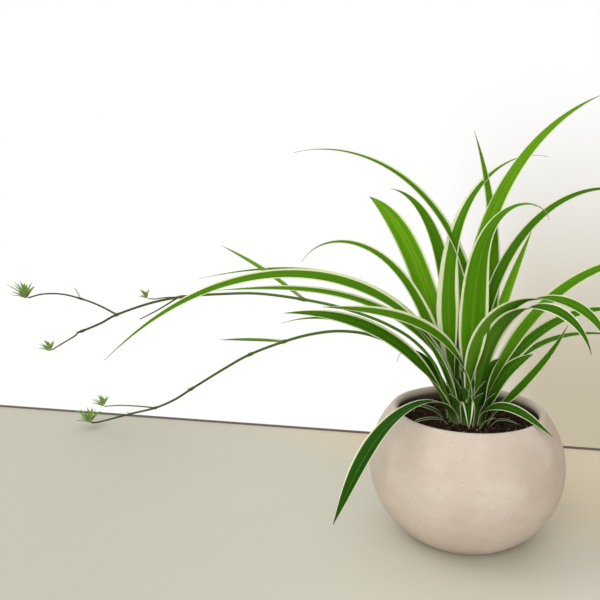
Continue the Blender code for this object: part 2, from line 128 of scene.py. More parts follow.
def piece(name, shape, surface, slot, *nodes):
    """Fill a mesh from the shape's arrays, shade it smooth and let it stand for the nodes."""
    mesh = bpy.data.meshes.new(name)
    mesh.vertices.add(len(shape.points))
    mesh.vertices.foreach_set("co", shape.points.astype(np.float32).ravel())
    mesh.loops.add(shape.faces.size)
    mesh.loops.foreach_set("vertex_index", shape.faces.astype(np.int32).ravel())
    mesh.polygons.add(len(shape.faces))
    mesh.polygons.foreach_set("loop_start", np.arange(0, shape.faces.size, 4, dtype=np.int32))
    mesh.update(calc_edges=True)
    mesh.validate()
    for label, rows in shape.marks.items():
        layer = mesh.attributes.new(label, "FLOAT_VECTOR", "POINT")
        layer.data.foreach_set("vector", rows.astype(np.float32).ravel())
    mesh.polygons.foreach_set("use_smooth", np.ones(len(mesh.polygons), dtype=bool))
    mesh.materials.append(surface)
    made = placed(name, mesh)
    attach(made, BODY)
    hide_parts(*nodes)
    print(name, "has", len(shape.faces), "faces")


print("a tube of 3 rings of 4 points has", len(ring_faces(3, 4)), "faces")

# %% [markdown]
# ## Short words for material nodes
#
# A material is a small graph of nodes. Wiring it by hand takes three lines for each node, and
# the idea drowns in them. These helpers add one node each and hand back its output, so that a
# graph can be written down like a sum. All patterns below are noise and ramps, because they
# have no seams and no end, and stay sharp however near one looks.

# %% One helper for each kind of node
def shader(name):
    """A new material, its node tree and its Principled shader."""
    made = bpy.data.materials.new(name)
    made.use_nodes = True
    return made, made.node_tree, made.node_tree.nodes["Principled BSDF"]


def wire(tree, value, socket):
    """Link a socket's output, or set a plain value."""
    if isinstance(value, bpy.types.NodeSocket):
        tree.links.new(value, socket)
    else:
        socket.default_value = value


def dress(tree, surface, colour, roughness, specular=0.5, bump=None):
    """Give the shader its colour, its roughness, how strongly it mirrors and its bumps."""
    wire(tree, colour, surface.inputs["Base Color"])
    wire(tree, roughness, surface.inputs["Roughness"])
    surface.inputs["Specular IOR Level"].default_value = specular
    if bump is not None:
        tree.links.new(bump, surface.inputs["Normal"])


def calc(tree, operation, *values):
    """One step of arithmetic."""
    node = tree.nodes.new("ShaderNodeMath")
    node.operation = operation
    for socket, value in zip(node.inputs, values):
        wire(tree, value, socket)
    return node.outputs[0]


def times(tree, first, second):
    """The product of two values."""
    return calc(tree, "MULTIPLY", first, second)


def ramped(tree, value, low, high, start=0.0, end=1.0):
    """A soft step from start to end as the value goes from low to high."""
    node = tree.nodes.new("ShaderNodeMapRange")
    node.interpolation_type = "SMOOTHSTEP"
    for socket, given in zip(node.inputs, (value, low, high, start, end)):
        wire(tree, given, socket)
    return node.outputs[0]


def mixed(tree, factor, first, second):
    """The first colour plus a factor of the way to the second."""
    node = tree.nodes.new("ShaderNodeMix")
    node.data_type = "RGBA"
    for socket, value in zip((node.inputs[0], node.inputs[6], node.inputs[7]),
                             (factor, first, second)):
        wire(tree, value, socket)
    return node.outputs[2]


def vector(tree, x, y, z):
    """Three numbers as one place."""
    node = tree.nodes.new("ShaderNodeCombineXYZ")
    for socket, value in zip(node.inputs, (x, y, z)):
        wire(tree, value, socket)
    return node.outputs[0]


def split_place(tree, place):
    """A place as its three numbers."""
    split = tree.nodes.new("ShaderNodeSeparateXYZ")
    tree.links.new(place, split.inputs[0])
    return split.outputs


def stretched(tree, parts, scales):
    """Each of three numbers times its own scale, as one place."""
    return vector(tree, *[times(tree, part, scale) for part, scale in zip(parts, scales)])


def noise(tree, place, scale, detail=3.0, roughness=0.55):
    """Cloudy noise: layers of waves, each twice as fine and a share as strong as the last."""
    node = tree.nodes.new("ShaderNodeTexNoise")
    wire(tree, place, node.inputs["Vector"])
    node.inputs["Scale"].default_value = scale
    node.inputs["Detail"].default_value = detail
    node.inputs["Roughness"].default_value = roughness
    return node.outputs[0]


def object_place(tree):
    """The place in metres, in the object's own axes."""
    return tree.nodes.new("ShaderNodeTexCoord").outputs["Object"]


def parts_of(tree, label):
    """The three numbers of one of the marks."""
    read = tree.nodes.new("ShaderNodeAttribute")
    read.attribute_name = label
    return split_place(tree, read.outputs["Vector"])


def bumped(tree, height, distance, strength=1.0):
    """A normal tilted by the slope of a height, which counts for a distance in metres."""
    node = tree.nodes.new("ShaderNodeBump")
    node.inputs["Strength"].default_value = strength
    node.inputs["Distance"].default_value = distance
    wire(tree, height, node.inputs["Height"])
    return node.outputs[0]


print("the material helpers are ready")

# %% [markdown]
# ## The bowl: its line
#
# The bowl is a ball of clay, thrown on a wheel and cut open at the top, with a rounded lip, a
# flat floor inside and a low foot. Thrown pots are turned shapes, so half of a cross-section
# and a full turn describe it. A Screw modifier does that too. Here the turn is a formula, so
# that each point is known by its place on the line, and the painted shade inside can be marked.
#
# The outside is an ellipse. The inside wall is the same ellipse moved in along its normal by
# the wall's thickness, and the lip is a half circle between the two.

# %% The bowl's profile
_, bowl_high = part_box("bowl")
BOWL_RADIUS = bowl_high.x
BOWL_HALF_HEIGHT = 0.0665
BOWL_MIDDLE = 0.0560        # height of the ellipse's middle
WALL = 0.0060
RIM_ANGLE = 51.5            # where the outside starts on the ellipse, in degrees from its top
FOOT_ANGLE = 144.0          # and where it ends
INSIDE_END = 140.0          # where the inside wall meets the floor
FOOT_RADIUS = 0.0340
FOOT_HEIGHT = 0.0025
FLOOR = 0.0090
LIP_POINTS = 16
NEARLY_ZERO = 1e-5


def round_line(angles, inset):
    """Sine and cosine of an angle times the half sizes, less the normal times the inset."""
    turn = np.radians(angles)
    round_size = np.array([BOWL_RADIUS, BOWL_HALF_HEIGHT])
    direction = np.stack([np.sin(turn), np.cos(turn)], axis=-1)
    return direction * round_size + [0.0, BOWL_MIDDLE] - unit(direction / round_size) * inset


def bowl_profile():
    """Floor, inside wall, lip, outside wall and foot, as (radius, height) rows in that order."""
    inner = round_line(np.linspace(INSIDE_END, RIM_ANGLE, 60), WALL)
    outer = round_line(np.linspace(RIM_ANGLE, FOOT_ANGLE, 70), 0.0)
    middle, across = (outer[0] + inner[-1]) / 2, (outer[0] - inner[-1]) / 2
    along = np.array([-across[1], across[0]])
    turn = np.radians(np.linspace(180.0, 0.0, LIP_POINTS))[1:-1, None]
    lip = middle + across * np.cos(turn) + along * np.sin(turn)
    # the floor rounds into the wall, and the foot ring is a narrow rounded step
    floor = [[NEARLY_ZERO, FLOOR], [inner[0, 0] - 0.006, FLOOR],
             [inner[0, 0] - 0.002, FLOOR + 0.0004]]
    foot = [[FOOT_RADIUS + 0.0007, FOOT_HEIGHT], [FOOT_RADIUS + 0.0005, 0.0012],
            [FOOT_RADIUS, 0.0003], [FOOT_RADIUS - 0.0006, 0.0], [NEARLY_ZERO, 0.0]]
    return np.concatenate([floor, inner, lip, outer, foot]), len(floor) + len(inner)


print("the bowl's line has", len(bowl_profile()[0]), "points")

# %% [markdown]
# ## The bowl: its clay
#
# The finish is unglazed and fine grained. Real clay of this kind is never one colour: there are
# faint paler clouds, pinkish wiping marks that run round the pot, fine grain and a few tiny
# pores. The inside wall is also darkened near the soil, as painted shade. All but the painted
# shade are layers of noise, and each of them changes the colour only a little. A painted picture
# could hold them as well, but it would have a seam down one side.

# %% The clay material
CLAY_DEEP = (0.548, 0.458, 0.388, 1)
CLAY_PALE = (0.638, 0.560, 0.496, 1)
CLAY_PINK = (0.570, 0.442, 0.365, 1)
CLAY_GRAIN = (0.50, 0.39, 0.32, 1)
CLAY_PORE = (0.38, 0.29, 0.23, 1)
# painted shade for the inside wall near the soil
CLAY_PAINTED_SHADE = (0.17, 0.135, 0.11, 1)


def bowl_material():
    """Clouds, wiping marks, fine grain and pores in turn, then painted shade inside by the mark."""
    made, tree, surface = shader("matte_clay")
    place = object_place(tree)
    cloud = noise(tree, place, 26.0, 5.0, 0.6)
    wiped = noise(tree, stretched(tree, split_place(tree, place), (14.0, 14.0, 170.0)), 1.0, 4.0,
                  0.6)
    grain = noise(tree, place, 900.0, 2.0, 0.7)
    pore = ramped(tree, noise(tree, place, 380.0, 1.0), 0.67, 0.74)
    # painted shade: this mark darkens the inside wall near the soil
    inside = parts_of(tree, "bowl")[0]
    clay = mixed(tree, ramped(tree, cloud, 0.32, 0.70), CLAY_DEEP, CLAY_PALE)
    for share, colour in ((times(tree, ramped(tree, wiped, 0.42, 0.75), 0.30), CLAY_PINK),
                          (times(tree, ramped(tree, grain, 0.35, 0.75), 0.16), CLAY_GRAIN),
                          (times(tree, pore, 0.22), CLAY_PORE), (inside, CLAY_PAINTED_SHADE)):
        clay = mixed(tree, share, clay, colour)
    height = calc(tree, "SUBTRACT", times(tree, grain, 0.5), pore)
    dress(tree, surface, clay, ramped(tree, cloud, 0.3, 0.7, 0.72, 0.86), 0.3,
          bumped(tree, calc(tree, "ADD", height, wiped), 0.00014, 0.7))
    return made


matte_clay = bowl_material()
print("clay nodes:", len(matte_clay.node_tree.nodes))

# %% [markdown]
# ## The bowl: turned
#
# A turned shape needs no modelling once its line is known. Each point of the line becomes a
# ring. The ends of the line are a hair's breadth from the axis, so the two poles are closed.
# The mark on each point says how much painted shade darkens the clay there: only inside, and
# less the higher it lies above the soil.

# %% Turn the bowl
SOIL_TOP = 0.0865
BOWL_STEPS = 192
SHADE_RISE = 0.0090          # the painted shade ends this far above the soil
SHADE_FADE = 0.0060          # and fades out over this height


def turned_shape(profile, steps):
    """Radius times cosine, radius times sine, height, for each angle of a full turn."""
    turn = np.linspace(0.0, 2 * math.pi, steps, endpoint=False)
    radius, height = profile[:, 0][:, None], profile[:, 1][:, None]
    points = np.stack([radius * np.cos(turn), radius * np.sin(turn),
                       height * np.ones(steps)], axis=-1).reshape(-1, 3)
    return Shape(points, ring_faces(len(profile), steps), {})


def bowl():
    profile, inside_rows = bowl_profile()
    shape = turned_shape(profile, BOWL_STEPS)
    row = np.repeat(np.arange(len(profile)), BOWL_STEPS)
    # painted shade on the inside wall, strongest at the soil and gone a little above it
    painted_shade = np.zeros_like(shape.points)
    painted_shade[:, 0] = (row < inside_rows) * smooth((SOIL_TOP + SHADE_RISE - shape.points[:, 2])
                                              / SHADE_FADE)
    piece("bowl_clay_body", shape._replace(marks={"bowl": painted_shade}), matte_clay, "bowl_clay", "bowl")


bowl()

# %% [markdown]
# ## The soil: its ups and downs
#
# Potting soil is a loose, uneven bed that rises a little towards the plant. A sum of many
# small waves in every direction gives such a bed. It could be sculpted, or pushed up with a
# Displace modifier. A plain function is used because the loose crumbs ask it for their height
# too, so that none of them floats.

# %% How high the soil stands
SOIL_RADIUS = 0.0535
SOIL_ROUGHNESS = 0.0015     # the waves lift or sink the bed by no more than this
MOUND_HEIGHT = 0.0016
MOUND_RADIUS = 0.0300
WAVE_COUNT = 40
random = np.random.default_rng(7)
WAVES = (random.normal(0.0, 1.0, (WAVE_COUNT, 2))
         * random.uniform(60.0, 700.0, (WAVE_COUNT, 1)))
WAVE_STARTS = random.uniform(0.0, 2 * math.pi, WAVE_COUNT)
WAVE_HEIGHTS = 0.05 / np.linalg.norm(WAVES, axis=1)


def soil_height(x, y):
    """The soil's level, plus each wave's height times the sine of its place, plus a mound."""
    waves = np.sin(x[..., None] * WAVES[:, 0] + y[..., None] * WAVES[:, 1] + WAVE_STARTS)
    rise = np.clip((waves * WAVE_HEIGHTS).sum(axis=-1), -SOIL_ROUGHNESS, SOIL_ROUGHNESS)
    return SOIL_TOP + rise + MOUND_HEIGHT * smooth(1 - np.hypot(x, y) / MOUND_RADIUS)


print("soil in the middle, in mm:", round(float(soil_height(np.zeros(1), np.zeros(1))[0]) * 1e3, 1))

# %% [markdown]
# ## The soil: its colour and its body
#
# Damp peat is nearly black, with rusty and brown flecks. One material function serves the bed
# and the loose bits, with other colours for each. The body is a ring-shaped grid: its top
# follows the waves and its side follows the inside of the bowl with a small gap.

# %% The soil bed
PEAT_BLACK = (0.010, 0.006, 0.004, 1)
PEAT_BROWN = (0.050, 0.028, 0.017, 1)
SOIL_GAP = 0.0003           # between the soil and the bowl
SOIL_SIDE_END = 64.0        # where the soil's side ends on the bowl's ellipse, in degrees
SOIL_EDGE_DROP = 0.0030     # the side stops this far under the soil's level
SOIL_RINGS = 90
SOIL_STEPS = 220


def soil_material(name, dark, light, share, roughness):
    """Dark colour plus a share of the way to the light one where the noise is high."""
    made, tree, surface = shader(name)
    place = object_place(tree)
    patch = noise(tree, place, 260.0, 5.0, 0.7)
    fibre = noise(tree, place, 1400.0, 3.0, 0.7)
    tone = times(tree, ramped(tree, patch, 0.4, 0.75), share)
    dress(tree, surface, mixed(tree, tone, dark, light), roughness, 0.15,
          bumped(tree, calc(tree, "ADD", patch, fibre), 0.0006))
    return made


def soil_body(surface):
    """Rings up the inside of the bowl, then rings inwards over the top."""
    radius = np.linspace(SOIL_RADIUS, NEARLY_ZERO, SOIL_RINGS)
    turn = np.linspace(0.0, 2 * math.pi, SOIL_STEPS, endpoint=False)
    x, y = radius[:, None] * np.cos(turn), radius[:, None] * np.sin(turn)
    top = np.stack([x, y, soil_height(x, y)], axis=-1)
    below = round_line(np.linspace(INSIDE_END, SOIL_SIDE_END, 26), WALL + SOIL_GAP)
    below = below[below[:, 1] < SOIL_TOP - SOIL_EDGE_DROP]
    below = np.concatenate([[[NEARLY_ZERO, FLOOR + SOIL_GAP]], below])
    side = np.stack([below[:, :1] * np.cos(turn), below[:, :1] * np.sin(turn),
                     below[:, 1:] * np.ones(SOIL_STEPS)], axis=-1)
    points = np.concatenate([side, top]).reshape(-1, 3)
    faces = ring_faces(len(below) + SOIL_RINGS, SOIL_STEPS)
    piece("soil_body", Shape(points, faces, {}), surface, "soil", "soil")


soil_body(soil_material("damp_soil", PEAT_BLACK, PEAT_BROWN, 0.8, 0.9))

# %% [markdown]
# ## The soil: crumbs and perlite
#
# What makes soil read as soil is its loose bits: bark, peat crumbs and a few white grains of
# perlite. A particle system could scatter them. Here each bit is a ball of 24 points whose
# points are pushed in and out at random, squashed, turned and set on the bed, all of them in
# one array. The random numbers come from a seed, so that the bed is the same each time.

# %% Scatter the crumbs
CRUMBS = 2600
PERLITE_GRAINS = 150
BALL_RINGS = np.radians([-80.0, -30.0, 30.0, 80.0])[:, None]
BALL_CORNERS = 6
BARK_RUST = (0.200, 0.088, 0.040, 1)
PERLITE_DUSTY = (0.36, 0.27, 0.17, 1)
PERLITE_WHITE = (0.74, 0.69, 0.56, 1)


def ball_points():
    """Cosine and sine of a latitude times those of a longitude, on four small circles."""
    ring = np.linspace(0.0, 2 * math.pi, BALL_CORNERS, endpoint=False)
    return np.stack([np.cos(BALL_RINGS) * np.cos(ring), np.cos(BALL_RINGS) * np.sin(ring),
                     np.sin(BALL_RINGS) * np.ones(BALL_CORNERS)], axis=-1).reshape(-1, 3)


def grains(name, count, low, high, flatness, surface):
    """The ball times random sizes, turned about Z, tilted, and moved to the bed's height."""
    spread = np.sqrt(random.uniform(0.05, 1.0, count)) * (SOIL_RADIUS - 0.0015)
    turn = random.uniform(0.0, 2 * math.pi, count)
    x, y = spread * np.cos(turn), spread * np.sin(turn)
    size = random.uniform(low, high, count) * random.uniform(0.6, 1.0, count)
    ball = ball_points()
    lumps = ball * random.uniform(0.7, 1.25, (count, len(ball), 1))
    lumps = lumps * random.uniform(0.5, 1.4, (count, 1, 3)) * size[:, None, None]
    lumps[..., 2] *= flatness
    spin = turn * 7             # seven times its heading turns each bit another way
    cosine, sine = np.cos(spin)[:, None], np.sin(spin)[:, None]
    spun = np.stack([lumps[..., 0] * cosine - lumps[..., 1] * sine,
                     lumps[..., 0] * sine + lumps[..., 1] * cosine,
                     lumps[..., 2] + lumps[..., 0] * random.uniform(-0.5, 0.5, (count, 1))], axis=-1)
    middle = np.stack([x, y, soil_height(x, y) + size * 0.25], axis=-1)
    points = (spun + middle[:, None]).reshape(-1, 3)
    # two faces close each end: the six points of the lowest ring and those of the highest
    caps = np.array([[5, 4, 3, 0], [3, 2, 1, 0], [18, 19, 20, 21], [18, 21, 22, 23]])
    faces = np.concatenate([ring_faces(len(BALL_RINGS), BALL_CORNERS), caps])
    faces = (faces[None] + (np.arange(count) * len(ball))[:, None, None]).reshape(-1, 4)
    piece(name, Shape(points, faces, {}), surface, "soil", "soil")


grains("soil_crumbs", CRUMBS, 0.0004, 0.0016, 0.7,
       soil_material("peat_crumbs", PEAT_BLACK, BARK_RUST, 0.9, 0.8))
grains("soil_perlite", PERLITE_GRAINS, 0.0004, 0.0009, 0.9,
       soil_material("perlite", PERLITE_DUSTY, PERLITE_WHITE, 1.0, 0.75))

# %% [markdown]
# ## The leaves: their stripes
#
# The leaves are green with cream margins that run from the crown to the tip. The marks tell
# the material where it is: `blade` holds the place across the leaf from -1 to 1, the distance
# from the crown in metres and whether this is the underside, `style` holds the width of the
# left and right margin as a share of the half leaf and how bright its green is, and `ends`
# holds the share of the length. A painted stripe would need an unwrapped map for each leaf.
#
# Noise stretched along the leaf makes the fine streaks, and a slower noise lets the margin
# wander. Near the crown the margins are thinner and the green is darkened by painted shade, and
# the last bit of the base is pale. Some light passes through the thin leaf, so the shader is
# mixed with a translucent one. The last few millimetres of a tip are often dry and brown.

# %% The leaf material
CREAM = (0.88, 0.92, 0.66, 1)
LIME = (0.34, 0.54, 0.05, 1)
DEEP_GREEN = (0.018, 0.100, 0.004, 1)
MID_GREEN = (0.085, 0.275, 0.003, 1)
FRESH_GREEN = (0.215, 0.500, 0.010, 1)
UNDER_GREEN = (0.20, 0.38, 0.05, 1)
SHEATH_PALE = (0.50, 0.58, 0.22, 1)
DRY_BROWN = (0.16, 0.09, 0.05, 1)


def lit_through(tree, surface, colour, share, bump):
    """A share of translucent shader in the mix, and the rest of the Principled one."""
    through = tree.nodes.new("ShaderNodeBsdfTranslucent")
    wire(tree, colour, through.inputs["Color"])
    wire(tree, bump, through.inputs["Normal"])
    mix = tree.nodes.new("ShaderNodeMixShader")
    mix.inputs[0].default_value = share
    tree.links.new(surface.outputs[0], mix.inputs[1])
    tree.links.new(through.outputs[0], mix.inputs[2])
    tree.links.new(mix.outputs[0], tree.nodes["Material Output"].inputs["Surface"])


def margin_edge(tree, across, along, left, right, tone):
    """Distance from the edge less the margin's width, which wanders and is thinner at the base."""
    place = vector(tree, calc(tree, "SIGN", across), times(tree, along, 24.0),
                   times(tree, tone, 53.0))
    wander = times(tree, calc(tree, "SUBTRACT", noise(tree, place, 1.0), 0.5), 0.4)
    on_right = calc(tree, "GREATER_THAN", across, 0.0)
    on_left = calc(tree, "SUBTRACT", 1.0, on_right)
    width = calc(tree, "ADD", times(tree, on_right, right), times(tree, on_left, left))
    width = times(tree, width, ramped(tree, along, 0.005, 0.055, 0.45, 1.0))
    edge = calc(tree, "SUBTRACT", 1.0, calc(tree, "ABSOLUTE", across))
    return calc(tree, "SUBTRACT", edge, times(tree, width, calc(tree, "ADD", 1.0, wander)))


def leaf_colour(tree, across, along, under, streak, tone, inward, crown_shade):
    """Deep to fresh green by tone and streak, lime by the margin, painted shade near the crown."""
    shade = calc(tree, "ADD", tone, times(tree, calc(tree, "SUBTRACT", streak, 0.5), 0.8))
    green = mixed(tree, ramped(tree, shade, 0.0, 0.55), DEEP_GREEN, MID_GREEN)
    keel = ramped(tree, calc(tree, "ABSOLUTE", across), 0.0, 0.14, 0.16, 0.0)
    for share, colour in ((ramped(tree, shade, 0.5, 1.05), FRESH_GREEN), (keel, LIME),
                          (ramped(tree, inward, 0.0, 0.12, 0.45, 0.0), LIME),
                          (times(tree, under, 0.28), UNDER_GREEN),
                          # painted shade: the green is darkened towards the crown
                          (ramped(tree, along, 0.015, 0.070, crown_shade, 0.0), DEEP_GREEN),
                          (ramped(tree, along, 0.0, 0.018, 0.5, 0.0), SHEATH_PALE),
                          (ramped(tree, inward, -0.03, 0.035, 1.0, 0.0), CREAM)):
        green = mixed(tree, share, green, colour)
    return green


def leaf_material(name, light_share, crown_shade):
    """Stripes from the marks, fine veins as a bump, and light through the leaf."""
    made, tree, surface = shader(name)
    across, along, under = parts_of(tree, "blade")
    left, right, tone = parts_of(tree, "style")
    reach = parts_of(tree, "ends")[0]
    streak = noise(tree, stretched(tree, (across, along, tone), (5.0, 9.0, 37.0)), 1.0, 4.0, 0.6)
    inward = margin_edge(tree, across, along, left, right, tone)
    colour = leaf_colour(tree, across, along, under, streak, tone, inward, crown_shade)
    colour = mixed(tree, ramped(tree, reach, 0.965, 0.990, 0.0, 0.5), colour, DRY_BROWN)
    veins = noise(tree, vector(tree, times(tree, across, 26.0), times(tree, along, 6.0), tone),
                  1.0, 2.0)
    bump = bumped(tree, veins, 0.00035, 0.8)
    dress(tree, surface, colour, ramped(tree, streak, 0.3, 0.7, 0.44, 0.58), 0.08, bump)
    lit_through(tree, surface, colour, light_share, bump)
    return made


striped_leaf = leaf_material("striped_leaf", 0.40, 0.40)
print("leaf nodes:", len(striped_leaf.node_tree.nodes))

# %% [markdown]
# ## The leaves: a folded blade
#
# A spider plant's leaf is a thin channel: two halves that rise from a keel, steeply at the
# crown and hardly at all further out. One cross-section, carried along the keel and scaled by
# the leaf's width, makes it. A flat plane with a Solidify modifier would look the same from
# afar, but it has a sharp fold and edges as thick as the middle. This one has a soft fold and
# edges that thin out.

# %% Carry the cross-section along the keel
FOLD_SOFTNESS = 0.14
EDGE_THINNING = 0.6


def blade_shape(keel, normal, side, half, fold, thickness, columns, style):
    """Keel + side times reach + normal times rise, above and below, closed at both ends."""
    across = -np.cos(np.linspace(0.0, math.pi, columns))
    lift = np.sqrt(across ** 2 + FOLD_SOFTNESS ** 2) - FOLD_SOFTNESS
    rise = (half * np.sin(fold))[:, None] * lift
    reach = (half * np.cos(fold))[:, None] * across
    depth = thickness[:, None] * (1 - EDGE_THINNING * across ** 2) / 2
    middle = keel[:, None] + side[:, None] * reach[..., None]
    top = middle + normal[:, None] * (rise + depth)[..., None]
    under = middle + normal[:, None] * (rise - depth)[..., None]
    rings = np.concatenate([top, under[:, ::-1]], axis=1)
    rows, width = len(keel), 2 * columns
    walked = np.cumsum(np.linalg.norm(np.diff(keel, axis=0, prepend=keel[:1]), axis=1))
    blade, ends = np.zeros((rows, width, 3)), np.zeros((rows, width, 3))
    blade[..., 0] = np.concatenate([across, across[::-1]])
    blade[..., 1] = walked[:, None]
    blade[..., 2] = np.repeat([0.0, 1.0], columns)
    ends[..., 0] = (walked / walked[-1])[:, None]
    first = np.arange(columns - 1)
    cap = np.stack([first, width - 1 - first, width - 2 - first, first + 1], axis=-1)
    last = (cap + (rows - 1) * width)[:, ::-1]
    faces = np.concatenate([ring_faces(rows, width)[:, ::-1], cap[:, ::-1], last[:, ::-1]])
    marks = {"blade": blade.reshape(-1, 3), "ends": ends.reshape(-1, 3),
             "style": np.tile(np.asarray(style, float), (rows * width, 1))}
    return Shape(rings.reshape(-1, 3), faces, marks)


print("a leaf is thinned at its edge to", round(1 - EDGE_THINNING, 2), "of its middle")

# %% [markdown]
# ## The leaves: one row of numbers each
#
# No two leaves are alike, but all of them grow by the same rule: up from a seat on the crown,
# then over in an arch. So each leaf is one row. `x` and `y` are its seat, `heading` the way it
# points (0 is +X, 90 is +Y), `lean` and `droop` its tilt from upright at the base and at the
# tip, `bend` how late it bends, and `twist` the roll of the blade near its base. `left`,
# `right` and `tone` are its stripes: the two margins and the brightness of its green. Four
# more have a usual value, which a row gives only where its leaf differs: `swing` is the turn of
# the heading, `turn` the further roll out to the tip, `taper` how late the blade narrows and
# `widest` where it is widest. Modelling each leaf by hand would take days.

# %% The table of leaves
Leaf = namedtuple("Leaf", "name x y heading lean droop bend length width twist left right tone "
                          "swing turn taper widest", defaults=(0, 0, 2.2, 0.35))

HEART_LEAVES = [
    Leaf("leaf_top_1", -0.0050, 0.0065, 12, -10, 103, 2.8, 0.236, 0.0165, -55, 0.46, 0.18, 0.58,
         turn=50, taper=1),
    Leaf("leaf_top_2", 0.0065, 0.0078, 20, 13, -23, 1.3, 0.214, 0.0100, -50, 0.28, 0.24, 0.75),
    Leaf("leaf_top_3", 0.0045, 0.0015, 8, -6, 68, 1.8, 0.268, 0.0155, -30, 0.10, 0.18, 0.84, taper=2),
    Leaf("leaf_top_4", 0.0005, -0.0064, 350, 0, 170, 6, 0.192, 0.0210, -75, 0.16, 0.20, 0.62, turn=75),
    Leaf("leaf_top_5", 0.0070, 0.0075, 40, 12, 34, 0.7, 0.152, 0.0090, -30, 0.10, 0.16, 1.00),
    Leaf("leaf_left_1", 0.0005, 0.0002, 165, -6, 103, 1.6, 0.278, 0.0125, 30, 0.34, 0.40, 0.60, taper=1.2),
    Leaf("leaf_left_2", -0.0060, 0.0090, 135, 7, 86, 4, 0.194, 0.0140, 30, 0.14, 0.20, 0.60),
    Leaf("leaf_left_3", -0.0065, 0.0055, 122, 22, 72, 2.6, 0.201, 0.0190, 30, 0.13, 0.16, 0.85, taper=4.5),
    Leaf("leaf_left_4", -0.0080, 0.0025, 165, 17, 150, 3, 0.204, 0.0140, 35, 0.26, 0.34, 0.62, taper=1),
    Leaf("leaf_left_5", -0.0075, 0.0085, 155, 2, 103, 0.54, 0.281, 0.0130, 20, 0.24, 0.24, 0.50, taper=1.1),
    Leaf("leaf_left_6", -0.0095, -0.0040, 186, 3, 133, 0.75, 0.330, 0.0120, 35, 0.24, 0.30, 0.60,
         taper=1.7),
    Leaf("leaf_left_7", -0.0105, 0.0000, 172, -4, 95, 0.5, 0.233, 0.0085, 35, 0.28, 0.38, 0.72),
    Leaf("leaf_left_8", -0.0045, -0.0065, 195, -20, 84, 0.5, 0.165, 0.0140, 35, 0.20, 0.36, 0.62),
    Leaf("leaf_left_9", -0.0085, 0.0005, 180, 8, 50, 1.2, 0.088, 0.0135, 35, 0.10, 0.34, 0.95),
    Leaf("leaf_right_1", 0.0075, 0.0025, 15, -2, 124, 1.8, 0.260, 0.0100, -30, 0.20, 0.20, 0.45, taper=1.5),
    Leaf("leaf_right_3", 0.0025, -0.0100, 325, -9, 168, 1.65, 0.181, 0.0150, 50, 0.18, 0.20, 0.50,
         turn=-125),
    Leaf("leaf_right_4", 0.0080, -0.0050, 306, -2, 164, 1.85, 0.166, 0.0140, 35, 0.26, 0.24, 0.30,
         turn=-110),
    Leaf("leaf_right_9", 0.0095, -0.0058, 345, 0, 50, 2.9, 0.052, 0.0160, -30, 0.24, 0.24, 0.25, taper=3.5),
]

OUTER_LEAVES = [
    Leaf("leaf_left_10", -0.0120, -0.0036, 196, 20, 90, 1, 0.168, 0.0160, 40, 0.20, 0.24, 0.38),
    Leaf("leaf_left_11", -0.0125, 0.0045, 158, 18, 109, 0.92, 0.169, 0.0090, 15, 0.26, 0.26, 0.45),
    Leaf("leaf_left_12", -0.0052, 0.0125, 132, 35, 185, 4, 0.082, 0.0075, 10, 0.02, 0.02, 0.00, swing=15),
    Leaf("leaf_left_13", -0.0100, -0.0080, 214, 21, 151, 0.45, 0.154, 0.0170, -10, 0.10, 0.15, 0.06,
         turn=20, taper=1.6, widest=0.6),
    Leaf("leaf_right_2", 0.0103, 0.0006, 12, 16, 104, 1.35, 0.210, 0.0120, -30, 0.26, 0.24, 0.72),
    Leaf("leaf_right_5", 0.0099, 0.0060, 24, 22, 111, 0.93, 0.190, 0.0120, -20, 0.24, 0.28, 0.42),
    Leaf("leaf_right_6", 0.0100, 0.0088, 32, 24, 104, 0.4, 0.233, 0.0090, -10, 0.28, 0.28, 0.45),
    Leaf("leaf_right_7", 0.0130, -0.0036, 350, 41, 20, 2.5, 0.095, 0.0085, -35, 0.12, 0.34, 0.45),
    Leaf("leaf_right_8", 0.0141, 0.0014, 10, 0, 70, 1, 0.066, 0.0130, -30, 0.18, 0.18, 0.35, taper=3.5),
    Leaf("leaf_right_10", 0.0070, 0.0100, 52, 14, 42, 0.8, 0.052, 0.0070, 0, 0.20, 0.20, 0.30),
    Leaf("leaf_right_11", 0.0078, -0.0111, 318, -10, 119, 0.42, 0.069, 0.0095, -25, 0.20, 0.22, 0.20),
    Leaf("leaf_front_1", -0.0045, -0.0130, 262, -8, 170, 1.2, 0.056, 0.0095, 0, 0.36, 0.36, 0.00),
    Leaf("leaf_front_2", 0.0018, -0.0132, 330, 15, -60, 2, 0.027, 0.0070, 0, 0.55, 0.40, 0.35),
    Leaf("leaf_front_3", 0.0045, -0.0130, 310, 45, 60, 1, 0.020, 0.0050, 0, 0.40, 0.40, 0.30),
    Leaf("leaf_small_1", -0.0115, -0.0072, 195, 55, 118, 1, 0.040, 0.0050, 0, 0.30, 0.30, 0.20),
    Leaf("leaf_small_2", 0.0120, -0.0066, 335, 50, 112, 1, 0.026, 0.0050, 0, 0.30, 0.30, 0.30),
    Leaf("leaf_small_3", -0.0138, 0.0004, 168, 48, 112, 1.5, 0.034, 0.0080, 0, 0.24, 0.24, 0.25),
    Leaf("leaf_back_1", 0.0036, 0.0125, 84, 20, 95, 1.6, 0.180, 0.0140, 10, 0.20, 0.20, 0.50),
    Leaf("leaf_back_2", -0.0010, 0.0130, 95, 32, 120, 1.2, 0.190, 0.0140, -10, 0.20, 0.20, 0.50),
]
print(len(HEART_LEAVES), "leaves cross over the crown and", len(OUTER_LEAVES), "stand clear")

# %% [markdown]
# ## The leaves: grown
#
# The keel is found by walking: at each small step the leaf points a little further down, and
# the steps are added up. A curve object could be bent by hand instead, but the tilt along the
# way is what makes an arch look grown, and here it is a plain formula. Seats lie on a ball,
# the top of the crown. The blade widens from a narrow base, tapers to a hair and waves a
# little along its edges.

